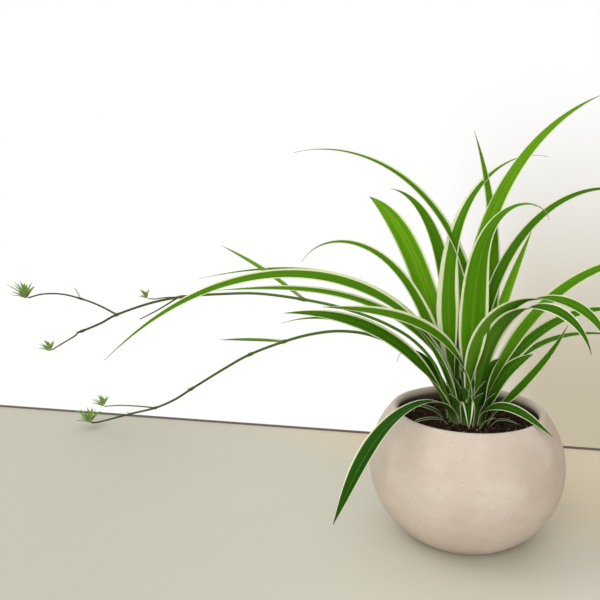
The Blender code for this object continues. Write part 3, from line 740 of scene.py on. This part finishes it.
# %% Walk along each leaf
CROWN_RADIUS = 0.0170
CROWN_MIDDLE = 0.0759       # height of the ball's middle
ROOT_DEPTH = 0.0025         # a keel starts this far inside the ball
BASE_WIDTH = 0.0086
BASE_FOLD = 42.0            # degrees that each half rises, at the base
BLADE_FOLD = 16.0           # and further out
FOLD_OPENS = 0.35           # share of the length where the fold has opened
TWIST_ENDS = 0.40           # share of the length where the twist is complete
ROW_SPACING = 0.0028
FEWEST_ROWS = 24
BLADE_THICKNESS = 0.00055
BLADE_COLUMNS = 17
LIFT_CLEAR = 0.0007         # the keel comes out this far above the crown
LIFT_OVER = 0.0120          # within this length
NARROWEST = 0.0004
EDGE_WAVE = 0.03            # share of the width
EDGE_WAVE_LENGTH = 0.0190   # for each radian of the wave


def bent(share, bend):
    """The share to the power of the bend, or its mirror image for a bend under 1."""
    return share ** bend if bend >= 1 else 1 - (1 - share) ** (1 / bend)


def leaf_axes(leaf, share):
    """Tangent = ahead times sin(tilt) + up times cos(tilt), then a roll about the tangent."""
    tilt = np.radians(blend(leaf.lean, leaf.droop, bent(share, leaf.bend)))
    heading = np.radians(leaf.heading + leaf.swing * share ** 2)
    level = np.zeros_like(heading)
    ahead = np.stack([np.cos(heading), np.sin(heading), level], axis=-1)
    side = np.stack([np.sin(heading), -np.cos(heading), level], axis=-1)
    up = np.array([0.0, 0.0, 1.0])
    rise, run = np.cos(tilt)[:, None], np.sin(tilt)[:, None]
    tangent = ahead * run + up * rise
    normal = up * run - ahead * rise
    outer = smooth((share - TWIST_ENDS) / (1 - TWIST_ENDS))
    roll = np.radians(leaf.twist * smooth(share / TWIST_ENDS) + leaf.turn * outer)[:, None]
    return (tangent, normal * np.cos(roll) - side * np.sin(roll),
            side * np.cos(roll) + normal * np.sin(roll))


def leaf_keel(leaf, share):
    """The seat plus the sum of all tangents walked so far, lifted clear of the crown."""
    count = 4 * (len(share) - 1)
    tangent, _, _ = leaf_axes(leaf, (np.arange(count) + 0.5) / count)
    across = leaf.x ** 2 + leaf.y ** 2
    height = math.sqrt(max((CROWN_RADIUS - ROOT_DEPTH) ** 2 - across, 0.0))
    gap = math.sqrt((CROWN_RADIUS + LIFT_CLEAR) ** 2 - across) - height
    moves = np.cumsum(tangent * leaf.length / count, axis=0)[3::4]
    keel = np.concatenate([np.zeros((1, 3)), moves]) + [leaf.x, leaf.y, CROWN_MIDDLE + height]
    keel[:, 2] += gap * smooth(share * leaf.length / LIFT_OVER)
    return keel


def leaf_half(leaf, share):
    """Half of: base width blended to full width, times 1 less the taper, plus a small wave."""
    taper = np.clip((share - leaf.widest) / (1 - leaf.widest), 0.0, 1.0)
    base = min(BASE_WIDTH, 0.6 * leaf.width)
    width = blend(base, leaf.width, smooth(share / leaf.widest)) * (1 - taper ** leaf.taper)
    phase = len(leaf.name) * 3.7 + leaf.heading
    wave = np.sin(share * leaf.length / EDGE_WAVE_LENGTH + phase) * smooth(share * 3) * EDGE_WAVE
    return np.maximum(width, NARROWEST) / 2 * (1 + wave)


def leaf_piece(leaf, node):
    """One leaf, with a row of points for each few millimetres of its length."""
    rows = max(FEWEST_ROWS, round(leaf.length / ROW_SPACING))
    share = np.linspace(0.0, 1.0, rows)
    _, normal, side = leaf_axes(leaf, share)
    fold = np.radians(blend(BASE_FOLD, BLADE_FOLD, smooth(share / FOLD_OPENS)))
    shape = blade_shape(leaf_keel(leaf, share), normal, side, leaf_half(leaf, share), fold,
                        BLADE_THICKNESS * (1 - 0.5 * share), BLADE_COLUMNS,
                        (leaf.left, leaf.right, leaf.tone))
    piece(leaf.name + "_blade", shape, striped_leaf, "heart" if node == "heart" else "leaf", node)


for leaf in HEART_LEAVES:
    leaf_piece(leaf, "heart")
for leaf in OUTER_LEAVES:
    leaf_piece(leaf, leaf.name)

# %% [markdown]
# ## The crown and its sheaths
#
# All leaves spring from a short pale rootstock. Their lowest parts are sheaths that clasp one
# another, and between them stand young leaves that have hardly opened. Without them one could
# look right through the foot of the plant. The rootstock is a turned dome with ridges. The
# sheaths are short blades of the same kind as the leaves, without dry tips and set by a rule:
# each turned by the golden angle from the last, which is how a rosette really grows.

# %% The rootstock and the young leaves in it
CROWN_DARK = (0.10, 0.17, 0.03, 1)
CROWN_PALE = (0.40, 0.42, 0.20, 1)
CROWN_INSET = 0.0012        # the ridges stay inside the ball that the seats lie on
GOLDEN_ANGLE = 137.5
SHEATHS = 14
SHEATH_RING = 0.0105        # the outermost sheath stands this far from the middle
SHEATH_ROWS = 20
FRESH_TO_THE_TIP = 0.9      # the mark of the length stops short of the dry tip


def crown():
    made, tree, surface = shader("pale_crown")
    bands = noise(tree, object_place(tree), 170.0, 3.0)
    dress(tree, surface, mixed(tree, ramped(tree, bands, 0.35, 0.7), CROWN_DARK, CROWN_PALE),
          0.6, bump=bumped(tree, bands, 0.0005))
    turn = np.radians(np.linspace(0.0, 100.0, 30))
    radius = CROWN_RADIUS - CROWN_INSET
    profile = np.stack([np.maximum(radius * np.sin(turn), NEARLY_ZERO),
                        CROWN_MIDDLE + radius * np.cos(turn)], axis=-1)
    profile = np.concatenate([profile, [[NEARLY_ZERO, profile[-1, 1]]]])[::-1]
    shape = turned_shape(profile, 60)
    angle = np.arctan2(shape.points[:, 1], shape.points[:, 0])
    ridge = 1 + 0.03 * np.sin(angle * 11) + 0.02 * np.sin(angle * 17 + 1.3)
    shape.points[:, :2] *= ridge[:, None]
    piece("crown_top", shape, made, "heart", "heart")


def sheath(i):
    """Heading = i times the golden angle, distance from the middle by the root of i."""
    heading = i * GOLDEN_ANGLE % 360
    out = SHEATH_RING * math.sqrt((i + 0.5) / SHEATHS)
    row = Leaf("sheath", x=out * math.cos(math.radians(heading)),
               y=out * math.sin(math.radians(heading)), heading=heading,
               lean=2 + 14 * i / SHEATHS, droop=10 + 30 * i / SHEATHS, bend=1.5,
               length=blend(0.034, 0.022, i / SHEATHS), width=0.0115, twist=0, left=0.05,
               right=0.05, tone=0.12 + 0.03 * (i % 5), taper=2.6, widest=0.4)
    share = np.linspace(0.0, 1.0, SHEATH_ROWS)
    _, normal, side = leaf_axes(row, share)
    shape = blade_shape(leaf_keel(row, share), normal, side, leaf_half(row, share),
                        np.radians(blend(58.0, 34.0, share)),
                        np.full(SHEATH_ROWS, BLADE_THICKNESS), 9, (row.left, row.right, row.tone))
    shape.marks["ends"] *= FRESH_TO_THE_TIP
    return shape


crown()
piece("crown_sheaths", merged([sheath(i) for i in range(SHEATHS)]), striped_leaf, "heart", "heart")

# %% [markdown]
# ## The runners: a line in space
#
# A runner is a thin round stem, smooth and dark green, that arches over the rim and branches.
# Its route is a short list of points. A Bezier curve with a bevel would do, but the stem also
# needs marks along it for its colours, so the curve is worked out here: a smooth line through
# all the points, then rings of points around it.

# %% The routes of the stems
RUNNER_RADIUS = 0.0013
BRANCH_RADIUS = 0.0009
STEM_SPACING = 0.0025
STEM_SIDES = 12
UPPER_STEM = [(-0.0090, 0.0105, 0.0905), (-0.0135, 0.0155, 0.105), (-0.022, 0.020, 0.126),
              (-0.037, 0.024, 0.143), (-0.056, 0.026, 0.155), (-0.080, 0.031, 0.164),
              (-0.110, 0.038, 0.171), (-0.155, 0.048, 0.176), (-0.190, 0.058, 0.174),
              (-0.222, 0.067, 0.170), (-0.250, 0.076, 0.163), (-0.281, 0.086, 0.151),
              (-0.297, 0.092, 0.142), (-0.3145, 0.098, 0.134), (-0.3195, 0.100, 0.132)]
UPPER_TIP = [(-0.3195, 0.100, 0.132), (-0.322, 0.101, 0.129), (-0.330, 0.103, 0.124),
             (-0.339, 0.106, 0.1185), (-0.3455, 0.1078, 0.1143)]
UPPER_BRANCH = [(-0.281, 0.086, 0.151), (-0.297, 0.091, 0.158), (-0.314, 0.096, 0.163),
                (-0.332, 0.101, 0.166), (-0.350, 0.106, 0.165), (-0.364, 0.110, 0.161)]
UPPER_STALK = [(-0.226, 0.068, 0.169), (-0.243, 0.074, 0.158), (-0.260, 0.080, 0.1485)]
UPPER_TWIG = [(-0.222, 0.067, 0.170), (-0.237, 0.0715, 0.1685), (-0.246, 0.076, 0.1665),
              (-0.2525, 0.0805, 0.166)]
UPPER_BRACT = ((-0.123, 0.041, 0.173), (-0.188, 0.060, 0.213), 0.0050)

LOWER_STEM = [(-0.0112, 0.0080, 0.0898), (-0.021, 0.0155, 0.115), (-0.041, 0.023, 0.134),
              (-0.068, 0.039, 0.144), (-0.092, 0.053, 0.1445), (-0.115, 0.066, 0.139),
              (-0.139, 0.080, 0.129), (-0.169, 0.098, 0.113), (-0.192, 0.111, 0.097),
              (-0.226, 0.131, 0.071), (-0.244, 0.1415, 0.057), (-0.266, 0.158, 0.043),
              (-0.296, 0.180, 0.029), (-0.324, 0.200, 0.0155), (-0.3375, 0.2105, 0.0090),
              (-0.346, 0.217, 0.0062)]
LOWER_BRANCH = [(-0.266, 0.158, 0.043), (-0.283, 0.168, 0.0412), (-0.3055, 0.180, 0.038),
                (-0.3235, 0.1893, 0.0338)]
LOWER_BRACT = ((-0.139, 0.080, 0.129), (-0.197, 0.114, 0.122), 0.0040)
BRACT_ROLL = 70.0           # a bract stands nearly on edge


def smooth_route(route):
    """Each span is a cubic that leaves and meets its points along their neighbours' chord."""
    points = np.asarray(route, float)
    guides = np.concatenate([[2 * points[0] - points[1]], points, [2 * points[-1] - points[-2]]])
    a, b, c, d = guides[:-3, None], guides[1:-2, None], guides[2:-1, None], guides[3:, None]
    t = np.linspace(0.0, 1.0, 12, endpoint=False)[None, :, None]
    dense = 0.5 * (2 * b + (c - a) * t + (2 * a - 5 * b + 4 * c - d) * t ** 2
                   + (3 * b - a - 3 * c + d) * t ** 3)
    dense = np.concatenate([dense.reshape(-1, 3), points[-1:]])
    walked = np.concatenate([[0.0], np.cumsum(np.linalg.norm(np.diff(dense, axis=0), axis=1))])
    wanted = np.linspace(0.0, walked[-1], max(4, round(walked[-1] / STEM_SPACING)))
    return np.stack([np.interp(wanted, walked, dense[:, k]) for k in range(3)], axis=-1)


def tube_shape(line, radius):
    """Line + radius times (side times cosine + normal times sine), closed at both ends."""
    tangent = unit(np.gradient(line, axis=0))
    side = unit(np.cross(tangent, [0.0, 0.0, 1.0]))
    normal = np.cross(side, tangent)
    line, side, normal = [np.concatenate([rows[:1], rows, rows[-1:]])
                          for rows in (line, side, normal)]
    radius = np.concatenate([[NEARLY_ZERO], radius, [NEARLY_ZERO]])
    turn = np.linspace(0.0, 2 * math.pi, STEM_SIDES, endpoint=False)
    out = side[:, None] * np.cos(turn)[:, None] + normal[:, None] * np.sin(turn)[:, None]
    points = line[:, None] + out * radius[:, None, None]
    stem = np.zeros((len(line), STEM_SIDES, 3))
    stem[..., 0] = np.linspace(0.0, 1.0, len(line))[:, None]
    return Shape(points.reshape(-1, 3), ring_faces(len(line), STEM_SIDES),
                 {"stem": stem.reshape(-1, 3)})


print("the upper stem is", len(smooth_route(UPPER_STEM)), "rings long")

# %% [markdown]
# ## The runners: stems with joints
#
# A stem is dark green where it is young and turns brown and dry at its thin ends. Where it
# branches there is a small joint, slightly thicker than the stem. The mark `stem` holds the
# share of the length, how dry the stem is and how bright. The joints are made by swelling the
# radius near chosen places, so no extra piece is needed.

# %% The stems
STEM_DARK = (0.014, 0.050, 0.008, 1)
STEM_LIGHT = (0.036, 0.090, 0.012, 1)
STEM_FRESH = (0.130, 0.300, 0.012, 1)
DRY_DARK = (0.060, 0.038, 0.022, 1)
DRY_LIGHT = (0.150, 0.110, 0.055, 1)
JOINT_SWELL = 0.55          # a joint is thicker by this share
JOINT_REACH = 0.0022


def stem_material():
    """Dark to light green by mottling, fresh by the third mark, dry by the second."""
    made, tree, surface = shader("runner_stem")
    _, dryness, freshness = parts_of(tree, "stem")
    mottle = noise(tree, object_place(tree), 300.0, 3.0)
    green = mixed(tree, mottle, STEM_DARK, STEM_LIGHT)
    green = mixed(tree, freshness, green, STEM_FRESH)
    dry = mixed(tree, mottle, DRY_DARK, DRY_LIGHT)
    dress(tree, surface, mixed(tree, dryness, green, dry), 0.6, 0.12,
          bumped(tree, mottle, 0.0003, 0.5))
    return made


def stem_shape(route, thick, thin, joints=(), dry=(0.0, 0.0), fresh=(0.0, 0.0)):
    """A tube whose radius blends from thick to thin and swells by about half at each joint."""
    line = smooth_route(route)
    share = np.linspace(0.0, 1.0, len(line))
    swell = 1.0
    for joint in joints:
        distance = np.linalg.norm(line - np.array(joint), axis=1)
        swell = swell + JOINT_SWELL * np.exp(-(distance / JOINT_REACH) ** 2)
    shape = tube_shape(line, blend(thick, thin, share) * swell)
    marks = shape.marks["stem"]
    marks[:, 1] = blend(*dry, smooth(marks[:, 0]))
    marks[:, 2] = blend(*fresh, smooth(marks[:, 0]))
    return shape


runner_stem = stem_material()
upper = [stem_shape(UPPER_STEM, RUNNER_RADIUS, BRANCH_RADIUS,
                    (UPPER_BRACT[0], UPPER_BRANCH[0], UPPER_TWIG[0], UPPER_STEM[-2]),
                    (0.0, 0.35), (0.8, 0.0)),
         stem_shape(UPPER_TIP, BRANCH_RADIUS * 0.8, BRANCH_RADIUS * 0.6, (), (1.0, 0.8)),
         stem_shape(UPPER_BRANCH, BRANCH_RADIUS * 0.9, BRANCH_RADIUS * 0.7,
                    (UPPER_BRANCH[2],), (0.7, 0.3)),
         stem_shape(UPPER_STALK, BRANCH_RADIUS * 0.8, BRANCH_RADIUS * 0.5, (), (0.6, 1.0)),
         stem_shape(UPPER_TWIG, BRANCH_RADIUS * 0.6, BRANCH_RADIUS * 0.5, (), (0.8, 0.4),
                    (0.0, 0.6))]
piece("runner_upper_stem", merged(upper), runner_stem, "runner", "runner_upper")
lower = [stem_shape(LOWER_STEM, RUNNER_RADIUS, BRANCH_RADIUS,
                    (LOWER_BRACT[0], LOWER_STEM[7], LOWER_STEM[9], LOWER_BRANCH[0]),
                    (0.0, 0.25), (0.4, 0.0)),
         stem_shape(LOWER_BRANCH, BRANCH_RADIUS * 0.8, BRANCH_RADIUS * 0.6, (), (0.2, 0.3),
                    (0.3, 0.5))]
piece("runner_lower_stem", merged(lower), runner_stem, "runner", "runner_lower")

# %% [markdown]
# ## The runners: bracts and buds
#
# Where a runner branches it bears a small leaf, called a bract, which is green with a pinkish
# dry base. The joints further out carry only tiny scales and buds. All of them are small
# folded blades from one point to another, so the blade function of the leaves serves again.

# %% Bracts and scales
FULLNESS = 1.35             # a bract is this much fuller than its plain packed blade
BRACT_PINK = (0.60, 0.38, 0.27, 1)
BRACT_ROWS = 30
BRACT_FOLD = 0.50           # in radians, as the folds of small blades are
BRACT_LEAST = 0.00018
SMALL_THICKNESS = 0.0004
SMALL_COLUMNS = 9
SCALE_WIDTH = 0.0016


def small_blade(keel, tangent, side, half, fold, style):
    """A blade with one fold and one thickness from end to end."""
    return blade_shape(keel, np.cross(side, tangent), side, half, np.full(len(keel), fold),
                       np.full(len(keel), SMALL_THICKNESS), SMALL_COLUMNS, style)


def bract_shape(placing, style, bow=0.03):
    """Start + span times share, bowed up by a sine, and turned on edge by the roll."""
    start, end, width = np.array(placing[0]), np.array(placing[1]), placing[2]
    share = np.linspace(0.0, 1.0, BRACT_ROWS)
    span = end - start
    lift = np.linalg.norm(span) * bow * np.sin(share * math.pi)
    keel = start + span * share[:, None] + np.array([0.0, 0.0, 1.0]) * lift[:, None]
    tangent = unit(np.gradient(keel, axis=0))
    level = unit(np.cross(tangent, [0.0, 0.0, 1.0]))
    turn = math.radians(BRACT_ROLL)
    side = level * math.cos(turn) + np.cross(tangent, level) * math.sin(turn)
    half = width * FULLNESS * (0.45 + 1.1 * share) * (1 - share ** 1.6) * 0.5
    return small_blade(keel, tangent, side, np.maximum(half, BRACT_LEAST), BRACT_FOLD, style)


def scale_shape(route, index, length, lift):
    """A scale from one point of a route towards the next, lifted off the stem."""
    start = np.array(route[index])
    ahead = unit(np.array(route[index + 1]) - start)
    end = start + (ahead + [0.0, 0.0, lift]) * length
    return bract_shape((start, end, SCALE_WIDTH), (0.1, 0.1, 0.5), 0.05)


def bract_material():
    """A leaf material whose base is pink and papery for the first few millimetres."""
    made = leaf_material("bract_leaf", 0.30, 0.0)
    tree = made.node_tree
    surface = tree.nodes["Principled BSDF"]
    along = parts_of(tree, "blade")[1]
    green = surface.inputs["Base Color"].links[0].from_socket
    pink = mixed(tree, ramped(tree, along, 0.004, 0.010, 0.85, 0.0), green, BRACT_PINK)
    tree.links.new(pink, surface.inputs["Base Color"])
    return made


bract_leaf = bract_material()
piece("bract_upper", bract_shape(UPPER_BRACT, (0.10, 0.10, 0.95)), bract_leaf, "runner",
      "runner_upper")
piece("bract_lower", bract_shape(LOWER_BRACT, (0.10, 0.10, 0.75), 0.01), bract_leaf, "runner",
      "runner_lower")
scales = [scale_shape(LOWER_STEM, 7, 0.007, 0.15), scale_shape(LOWER_STEM, 9, 0.007, 0.3),
          scale_shape(LOWER_STEM, 12, 0.006, 0.5)]
piece("runner_lower_scales", merged(scales), bract_leaf, "runner", "runner_lower")
buds = [scale_shape(UPPER_BRANCH, 2, 0.006, 1.4), scale_shape(UPPER_STEM, 9, 0.006, 0.2)]
piece("runner_upper_buds", merged(buds), bract_leaf, "runner", "runner_upper")

# %% [markdown]
# ## The young plants
#
# Each runner ends in little tufts of pointed leaves, plants in the making. A tuft is a fan of
# short blades from one middle, in three tilts and four lengths, and each has two smaller and
# more upright ones beside it. Copies of one model would look like stamps, so each tuft is
# grown from its own row.

# %% The tufts
Plantlet = namedtuple("Plantlet", "name centre facing blades length width")
PLANTLETS = [
    Plantlet("plantlet_upper_left", (-0.3662, 0.1106, 0.1602), 165, 9, 0.020, 0.0035),
    Plantlet("plantlet_upper_right", (-0.3475, 0.1084, 0.1130), 165, 7, 0.0135, 0.0035),
    Plantlet("plantlet_upper_small", (-0.2545, 0.0819, 0.1659), 165, 6, 0.011, 0.0030),
    Plantlet("plantlet_lower_back", (-0.3256, 0.1904, 0.0333), 150, 7, 0.0155, 0.0035),
    Plantlet("plantlet_lower_front", (-0.3479, 0.2184, 0.0057), 145, 9, 0.020, 0.0040),
]
TUFT_SPREAD = 105.0         # degrees to either side of where the tuft faces
TUFT_LEAST_TILT = 30.0      # degrees from upright
TUFT_MORE_TILT = 40.0
TUFT_BEND = 0.35            # radians from the base of a blade to its tip
TUFT_ROWS = 14
TUFT_FOLD = 0.45
TUFT_LEAST = 0.00015


def tuft_blade(plan, heading, tilt, length, tone):
    """A blade that bends over as it grows: its tilt rises along its length."""
    share = np.linspace(0.0, 1.0, TUFT_ROWS)
    lean = tilt + TUFT_BEND * (share - 0.5)
    ahead = np.array([math.cos(heading), math.sin(heading), 0.0])
    tangent = ahead * np.sin(lean)[:, None] + [0.0, 0.0, 1.0] * np.cos(lean)[:, None]
    keel = np.array(plan.centre) + np.cumsum(tangent, axis=0) * length / TUFT_ROWS
    side = np.tile([math.sin(heading), -math.cos(heading), 0.0], (TUFT_ROWS, 1))
    half = plan.width * 0.5 * (0.5 + 1.3 * share) * (1 - share ** 1.5)
    return small_blade(keel, tangent, side, np.maximum(half, TUFT_LEAST), TUFT_FOLD,
                       (0.05, 0.05, tone))


def tuft(plan):
    """Headings spread evenly to both sides of where the tuft faces, tilts in three steps."""
    blades = []
    for i in range(plan.blades):
        turn = i / (plan.blades - 1)
        heading = math.radians(plan.facing + blend(-TUFT_SPREAD, TUFT_SPREAD, turn))
        tilt = math.radians(TUFT_LEAST_TILT + TUFT_MORE_TILT * ((i * 5) % 3) / 2)
        length = plan.length * (0.75 + 0.25 * ((i * 7) % 4) / 3)
        for aside, part, tone in ((0.0, 1.0, 0.75 + 0.35 * turn), (0.2, 0.6, 1.05),
                                  (-0.2, 0.8, 0.85)):
            blades.append(tuft_blade(plan, heading + aside, tilt * part, length * part, tone))
    return merged(blades)


young_leaf = leaf_material("young_leaf", 0.35, 0.0)
for plan in PLANTLETS:
    piece(plan.name + "_tuft", tuft(plan), young_leaf, "plantlet", plan.name)

# %% [markdown]
# ## The table
#
# The pot stands on a pale, slightly warm table top that ends behind it, with a thin painted
# shadow line along its back edge. It is only a stage for the plant, so it is one flat box and a
# strip. Its colour holds painted light: it is darker on the left and warmer on the right, as
# light from a window falls on a real table.

# %% The table top and its painted shadow line
TABLE_BACK = ((-3.0, 0.801), (3.0, -0.422))     # x and y of the two back corners
TABLE_FRONT = -3.0
TABLE_BOTTOM = -0.02
# a thin dark strip behind the back edge: a painted shadow line where the table meets the wall
SHADOW_LINE_WIDTH = 0.0020
SHADOW_LINE_TOP = 0.0018
SHADOW_LINE_DARK = (0.14, 0.11, 0.095, 1)
# painted light: the table is darker on the left and warm on the right
TABLE_SHADED_LEFT = (0.467, 0.453, 0.381, 1)
TABLE_LIGHT = (0.600, 0.585, 0.500, 1)
TABLE_WARM_LIT = (0.600, 0.520, 0.385, 1)


def slab(name, corners, bottom, top, surface):
    """Eight points: the four corners at the top and again at the bottom."""
    mesh = bpy.data.meshes.new(name)
    points = [(x, y, z) for z in (top, bottom) for x, y in corners]
    mesh.from_pydata(points, [], [(0, 1, 2, 3), (7, 6, 5, 4), (0, 4, 5, 1), (1, 5, 6, 2),
                                  (2, 6, 7, 3), (3, 7, 4, 0)])
    mesh.materials.append(surface)
    made = placed(name, mesh)


def table_material():
    """Painted shade to plain colour by x, painted warm light where x plus y is large, faint clouds."""
    made, tree, surface = shader("pale_table")
    place = object_place(tree)
    x, y, _ = split_place(tree, place)
    cloud = times(tree, calc(tree, "SUBTRACT", noise(tree, place, 5.0, 4.0), 0.5), 0.16)
    tone = mixed(tree, ramped(tree, calc(tree, "ADD", x, cloud), -0.36, 0.10), TABLE_SHADED_LEFT,
                 TABLE_LIGHT)
    # painted warm light towards the right
    warm = ramped(tree, calc(tree, "ADD", x, y), 0.0, 0.16)
    dress(tree, surface, mixed(tree, warm, tone, TABLE_WARM_LIT), 0.6, 0.2)
    return made


# painted shadow: a dark matte strip
def shadow_line_material():
    made, tree, surface = shader("dark_joint")
    dress(tree, surface, SHADOW_LINE_DARK, 0.9)
    return made


(left, left_back), (right, right_back) = TABLE_BACK
slab("table", [(left, TABLE_FRONT), (right, TABLE_FRONT), (right, right_back), (left, left_back)],
     TABLE_BOTTOM, 0.0, table_material())
# painted shadow: the dark strip along the back edge
slab("table_joint", [(left, left_back), (right, right_back), (right, right_back + SHADOW_LINE_WIDTH),
                     (left, left_back + SHADOW_LINE_WIDTH)], TABLE_BOTTOM, SHADOW_LINE_TOP, shadow_line_material())
print("the table ends", round(-(right_back - left_back) / (right - left), 3), "m nearer per metre")

# %% [markdown]
# ## The light
#
# A bright even room lights the plant: the wall behind is almost white, dims and warms low on
# the right and is darker far out to both sides. The sky colour is worked out from the
# direction, so no wall has to be built. One large soft lamp high on the left gives the pot
# its shade on the right, and one further off in front lifts the middle of the bowl.

# %% The sky and the lamps
SKY_WHITE = (1.0, 1.0, 0.995, 1)
SKY_WARM = (0.56, 0.495, 0.365, 1)
SKY_LEFT = (0.48, 0.46, 0.40, 1)
SKY_RIGHT = (0.34, 0.28, 0.18, 1)
LAMP_SIZE = 1.0
LAMP_TARGET = Vector((0.0, 0.0, 0.10))


def sky():
    """White, mixed with warm grey low on the right, and dimmer far out to both sides."""
    world = bpy.data.worlds.new("studio")
    bpy.context.scene.world = world
    world.use_nodes = True
    tree = world.node_tree
    x, _, z = split_place(tree, tree.nodes.new("ShaderNodeTexCoord").outputs["Generated"])
    dim = times(tree, ramped(tree, x, 0.16, 0.31), ramped(tree, z, -0.32, 0.12, 1.0, 0.0))
    colour = mixed(tree, dim, SKY_WHITE, SKY_WARM)
    colour = mixed(tree, ramped(tree, x, -0.75, -0.45, 1.0, 0.0), colour, SKY_LEFT)
    colour = mixed(tree, ramped(tree, x, 0.45, 0.75), colour, SKY_RIGHT)
    wire(tree, colour, tree.nodes["Background"].inputs["Color"])


def lamp(name, place, power, colour):
    """A square soft lamp that looks at the foot of the plant."""
    data = bpy.data.lights.new(name, "AREA")
    data.size = LAMP_SIZE
    data.energy = power
    data.color = colour
    made = placed(name, data)
    made.location = place
    made.rotation_euler = (LAMP_TARGET - Vector(place)).to_track_quat("-Z", "Y").to_euler()


sky()
lamp("window", (-1.1, 0.15, 1.1), 7.0, (1.0, 0.98, 0.95))
lamp("front_fill", (-0.55, -1.5, 0.75), 12.0, (1.0, 0.97, 0.93))

# %% [markdown]
# ## The camera
#
# The camera stands a little above the pot and looks slightly down, so that the soil shows
# inside the rim and the runners reach across to the left.

# %% The camera
CAMERA_PLACE = (-0.1255, -0.5366, 0.2847)
CAMERA_TILT = 79.0          # degrees up from looking straight down
LENS_MM = 45.0
SENSOR_MM = 36.0


def camera():
    data = bpy.data.cameras.new("camera")
    data.lens = LENS_MM
    data.sensor_width = SENSOR_MM
    made = placed("camera", data)
    made.location = CAMERA_PLACE
    made.rotation_euler = (math.radians(CAMERA_TILT), 0.0, 0.0)
    bpy.context.scene.camera = made


camera()
bpy.context.scene.view_settings.view_transform = "Standard"
print("camera height in metres:", round(bpy.context.scene.camera.location.z, 3))
